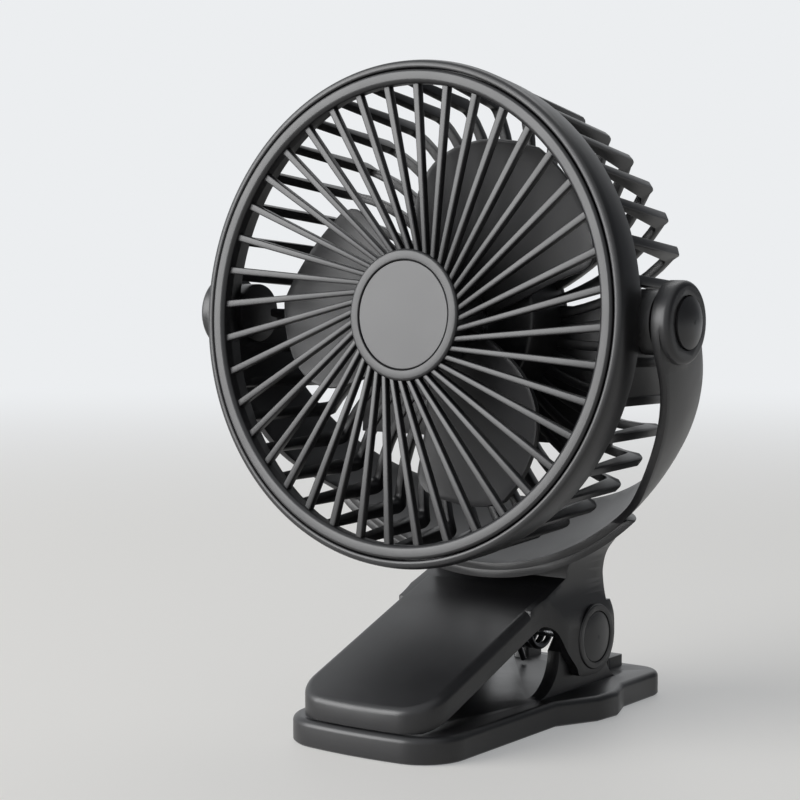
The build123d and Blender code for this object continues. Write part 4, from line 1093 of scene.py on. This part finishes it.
    def back_plate(self, shape: bmesh.types.BMesh) -> None:
        """Adds the flat plate across the lower back, cut out round the housing.

        Args:
            shape: Mesh that gets the plate.
        """
        front = self.rear - self.plate_inset - self.plate_thickness
        part = bmesh.new()
        hole_r = (self.housing_r - self.housing_wall / 2) * MM
        bmesh.ops.create_circle(part, segments=96, radius=hole_r)
        half, top, bottom = self.plate_half_width, self.plate_top, self.plate_bottom
        bmesh.ops.bisect_plane(
            part, geom=part.verts[:] + part.edges[:], plane_co=(0, top * MM, 0), plane_no=(0, 1, 0),
            clear_outer=True,
        )
        corners = [(half, top), (half, bottom), (-half, bottom), (-half, top)]
        outer = [part.verts.new((x * MM, y * MM, 0.0)) for x, y in corners]
        ends = [vert for vert in part.verts if len(vert.link_edges) == 1]
        left_end, right_end = sorted(ends, key=lambda vert: vert.co.x)
        loop = [right_end, *outer, left_end]
        for first, second in zip(loop, loop[1:]):
            part.edges.new((first, second))
        bmesh.ops.triangle_fill(part, edges=part.edges[:], use_beauty=True)
        bmesh.ops.dissolve_limit(part, angle_limit=0.01, verts=part.verts, edges=part.edges)
        solid = bmesh.ops.extrude_face_region(part, geom=part.faces[:])
        moved = [item for item in solid["geom"] if isinstance(item, bmesh.types.BMVert)]
        bmesh.ops.translate(part, verts=moved, vec=(0.0, 0.0, -self.plate_thickness * MM))
        bmesh.ops.recalc_face_normals(part, faces=part.faces)
        round_edges(part, self.plate_round, sharper_deg=FIN_SHARP_DEG)
        upright = Matrix.Translation((0.0, front * MM, 0.0)) @ Matrix.Rotation(math.radians(90), 4, "X")
        bmesh.ops.transform(part, matrix=upright, verts=part.verts)
        join(shape, part)

    def build(self, palette: "Palette") -> bpy.types.Object:
        """Builds the whole rear moulding.

        Args:
            palette: Holds the materials.

        Returns:
            The seated piece.
        """
        shape = bmesh.new()
        self.wall_and_rim(shape)
        self.ribs(shape)
        self.housing(shape)
        self.pivots(shape)
        self.back_plate(shape)
        return place_piece(shape, "basket_moulding", IN_HEAD, "head", ["rear_shroud"], SATIN_ABS, palette)


@dataclass
class Impeller:
    """Three broad, twisted blades on a cup.

    Sizes are in millimetres, in the head's frame.

    Attributes:
        middle_deg: Where the first blade's middle lies, counter-clockwise seen from the front.
        middle_y: Where the blades' middle lies along the fan axis.
        camber: How far a blade's middle bulges backwards at the tip.
        tip_cut: Share of the tip radius that the rear edge falls short by.
        tip_cut_power: How fast that cut grows towards the rear edge.
        lean_deg: Angle of the blade to the fan's plane, at the tip and what the cup adds.
    """

    blade_count: int = 3
    tip_r: float = 60.5
    root_r: float = 14.0
    thickness: float = 1.5
    middle_deg: float = 47.0
    middle_y: float = -2.4
    camber: float = 1.6
    tip_cut: float = 0.1
    tip_cut_power: float = 1.4
    lean_deg: tuple[float, float] = (12.0, 14.0)
    edge_round: float = 0.45
    cup_r: float = 15.0
    cup_front: float = -17.0
    cup_rear: float = -1.0
    cup_wall: float = 1.7

    def blade_point(self, along: float, across: float) -> Vector:
        """Point of a blade's middle surface.

        Args:
            along: 0 at the cup and 1 at the tip.
            across: 0 at the rear edge and 1 at the front edge.

        Returns:
            The point, in millimetres.
        """
        tip = self.tip_r * (1.0 - self.tip_cut * (1.0 - across) ** self.tip_cut_power)
        radius = self.root_r + (tip - self.root_r) * along
        # Degrees from the blade's middle line. The high powers round the two tip corners.
        front_edge = 62.0 - 24.0 * along - 29.0 * along**6
        rear_edge = -47.0 + 24.0 * math.sqrt(along) - 8.0 * along**3 + 7.0 * along**18
        turn = rear_edge + (front_edge - rear_edge) * across
        side = radius * math.sin(math.radians(turn))
        tip_lean, cup_lean = self.lean_deg
        lean = math.tan(math.radians(tip_lean + cup_lean * (1.0 - along) ** 1.4))
        bulge = self.camber * (1.0 - (2.0 * across - 1.0) ** 2) * (0.4 + 0.6 * along)
        angle = math.radians(self.middle_deg + turn)
        y = self.middle_y - side * lean + bulge
        return Vector((radius * math.cos(angle), y, radius * math.sin(angle)))

    def blades(self, shape: bmesh.types.BMesh) -> None:
        """Adds the blades: a grid bent to the blade's form, thickened and rounded at its edges.

        Args:
            shape: Mesh that gets the blades.
        """
        part = bmesh.new()
        bmesh.ops.create_grid(part, x_segments=26, y_segments=32, size=0.5)
        for vert in part.verts:
            vert.co = self.blade_point(vert.co.x + 0.5, vert.co.y + 0.5) * MM
        bmesh.ops.recalc_face_normals(part, faces=part.faces)
        bmesh.ops.solidify(part, geom=part.faces[:], thickness=self.thickness * MM)
        bmesh.ops.recalc_face_normals(part, faces=part.faces)
        round_edges(part, self.edge_round, sharper_deg=FIN_SHARP_DEG)
        repeat_around(part, self.blade_count)
        join(shape, part)

    def cup(self, shape: bmesh.types.BMesh) -> None:
        """Adds the cup that covers the motor.

        Args:
            shape: Mesh that gets the cup.
        """
        inner = self.cup_r - self.cup_wall
        outline = [
            (0.0, self.cup_front),
            (self.cup_r, self.cup_front),
            (self.cup_r, self.cup_rear),
            (inner, self.cup_rear),
            (inner, self.cup_front + self.cup_wall),
            (0.0, self.cup_front + self.cup_wall),
        ]
        lathe(shape, outline, {1: 3.4, 2: 0.4}, steps=96)

    def build(self, palette: "Palette") -> bpy.types.Object:
        """Builds the impeller.

        Args:
            palette: Holds the materials.

        Returns:
            The seated piece.
        """
        shape = bmesh.new()
        self.cup(shape)
        self.blades(shape)
        return place_piece(shape, "impeller_moulding", IN_HEAD, "impeller", ["impeller"], WAXY_PP, palette)


@dataclass
class SoftEdges:
    """Mouldings whose CAD form is right and whose edges the mould rounds off.

    Attributes:
        reach_mm: How far the rounding reaches, by node.
    """

    reach_mm: dict[str, float]

    def build(self, palette: "Palette") -> list[bpy.types.Object]:
        """Builds a rounded copy of each node.

        Args:
            palette: Holds the materials.

        Returns:
            The seated pieces.
        """
        pieces = []
        for node, reach in self.reach_mm.items():
            piece = softened(node, f"{node}_moulding", reach)
            seat_piece(piece, body_of_node(node), [node], CAD_FINISHES[node], palette)
            pieces.append(piece)
        return pieces


def body_of_node(node: str) -> str:
    """Name of the body that a CAD node rides on."""
    bodies = frame["record"]["behaviour"]["bodies"]
    return next(body for body, nodes in bodies.items() if node in nodes)


def seat_piece(
    piece: bpy.types.Object, body: str, nodes: list[str], finish: Finish, palette: "Palette"
) -> None:
    """Makes a piece ride, stand for its nodes and wear its finish, and reports it.

    Args:
        piece: The piece, in place.
        body: Body that carries it.
        nodes: CAD nodes that it stands for.
        finish: Its finish.
        palette: Holds the materials.
    """
    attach(piece, body)
    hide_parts(*nodes)
    palette.dress(piece, finish)
    log.info("%s: %d faces, for %s", piece.name, len(piece.data.polygons), ", ".join(nodes))


def place_piece(
    shape: bmesh.types.BMesh, name: str, place: Matrix, body: str, nodes: list[str],
    finish: Finish, palette: "Palette",
) -> bpy.types.Object:
    """Finishes a worked mesh and seats it.

    Args:
        shape: The mesh, in its own frame.
        name: Name of the piece.
        place: Moves the piece to its place.
        body: Body that carries it.
        nodes: CAD nodes that it stands for.
        finish: Its finish.
        palette: Holds the materials.

    Returns:
        The seated piece.
    """
    piece = finished(shape, name, place)
    seat_piece(piece, body, nodes, finish, palette)
    return piece


def main() -> None:
    """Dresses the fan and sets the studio."""
    logging.basicConfig(level=logging.INFO, format="%(message)s")
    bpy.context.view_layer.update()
    palette = Palette()
    for node, finish in CAD_FINISHES.items():
        palette.dress_node(node, finish)
    Grille().build(palette)
    Basket().build(palette)
    Impeller().build(palette)
    SoftEdges(
        {
            "yoke_bracket": 1.2,
            "clip_lever": 0.8,
            "base_plate": 0.8,
            "rear_cover": 0.35,
        }
    ).build(palette)
    Studio().build()


if __name__ == "__main__":
    main()
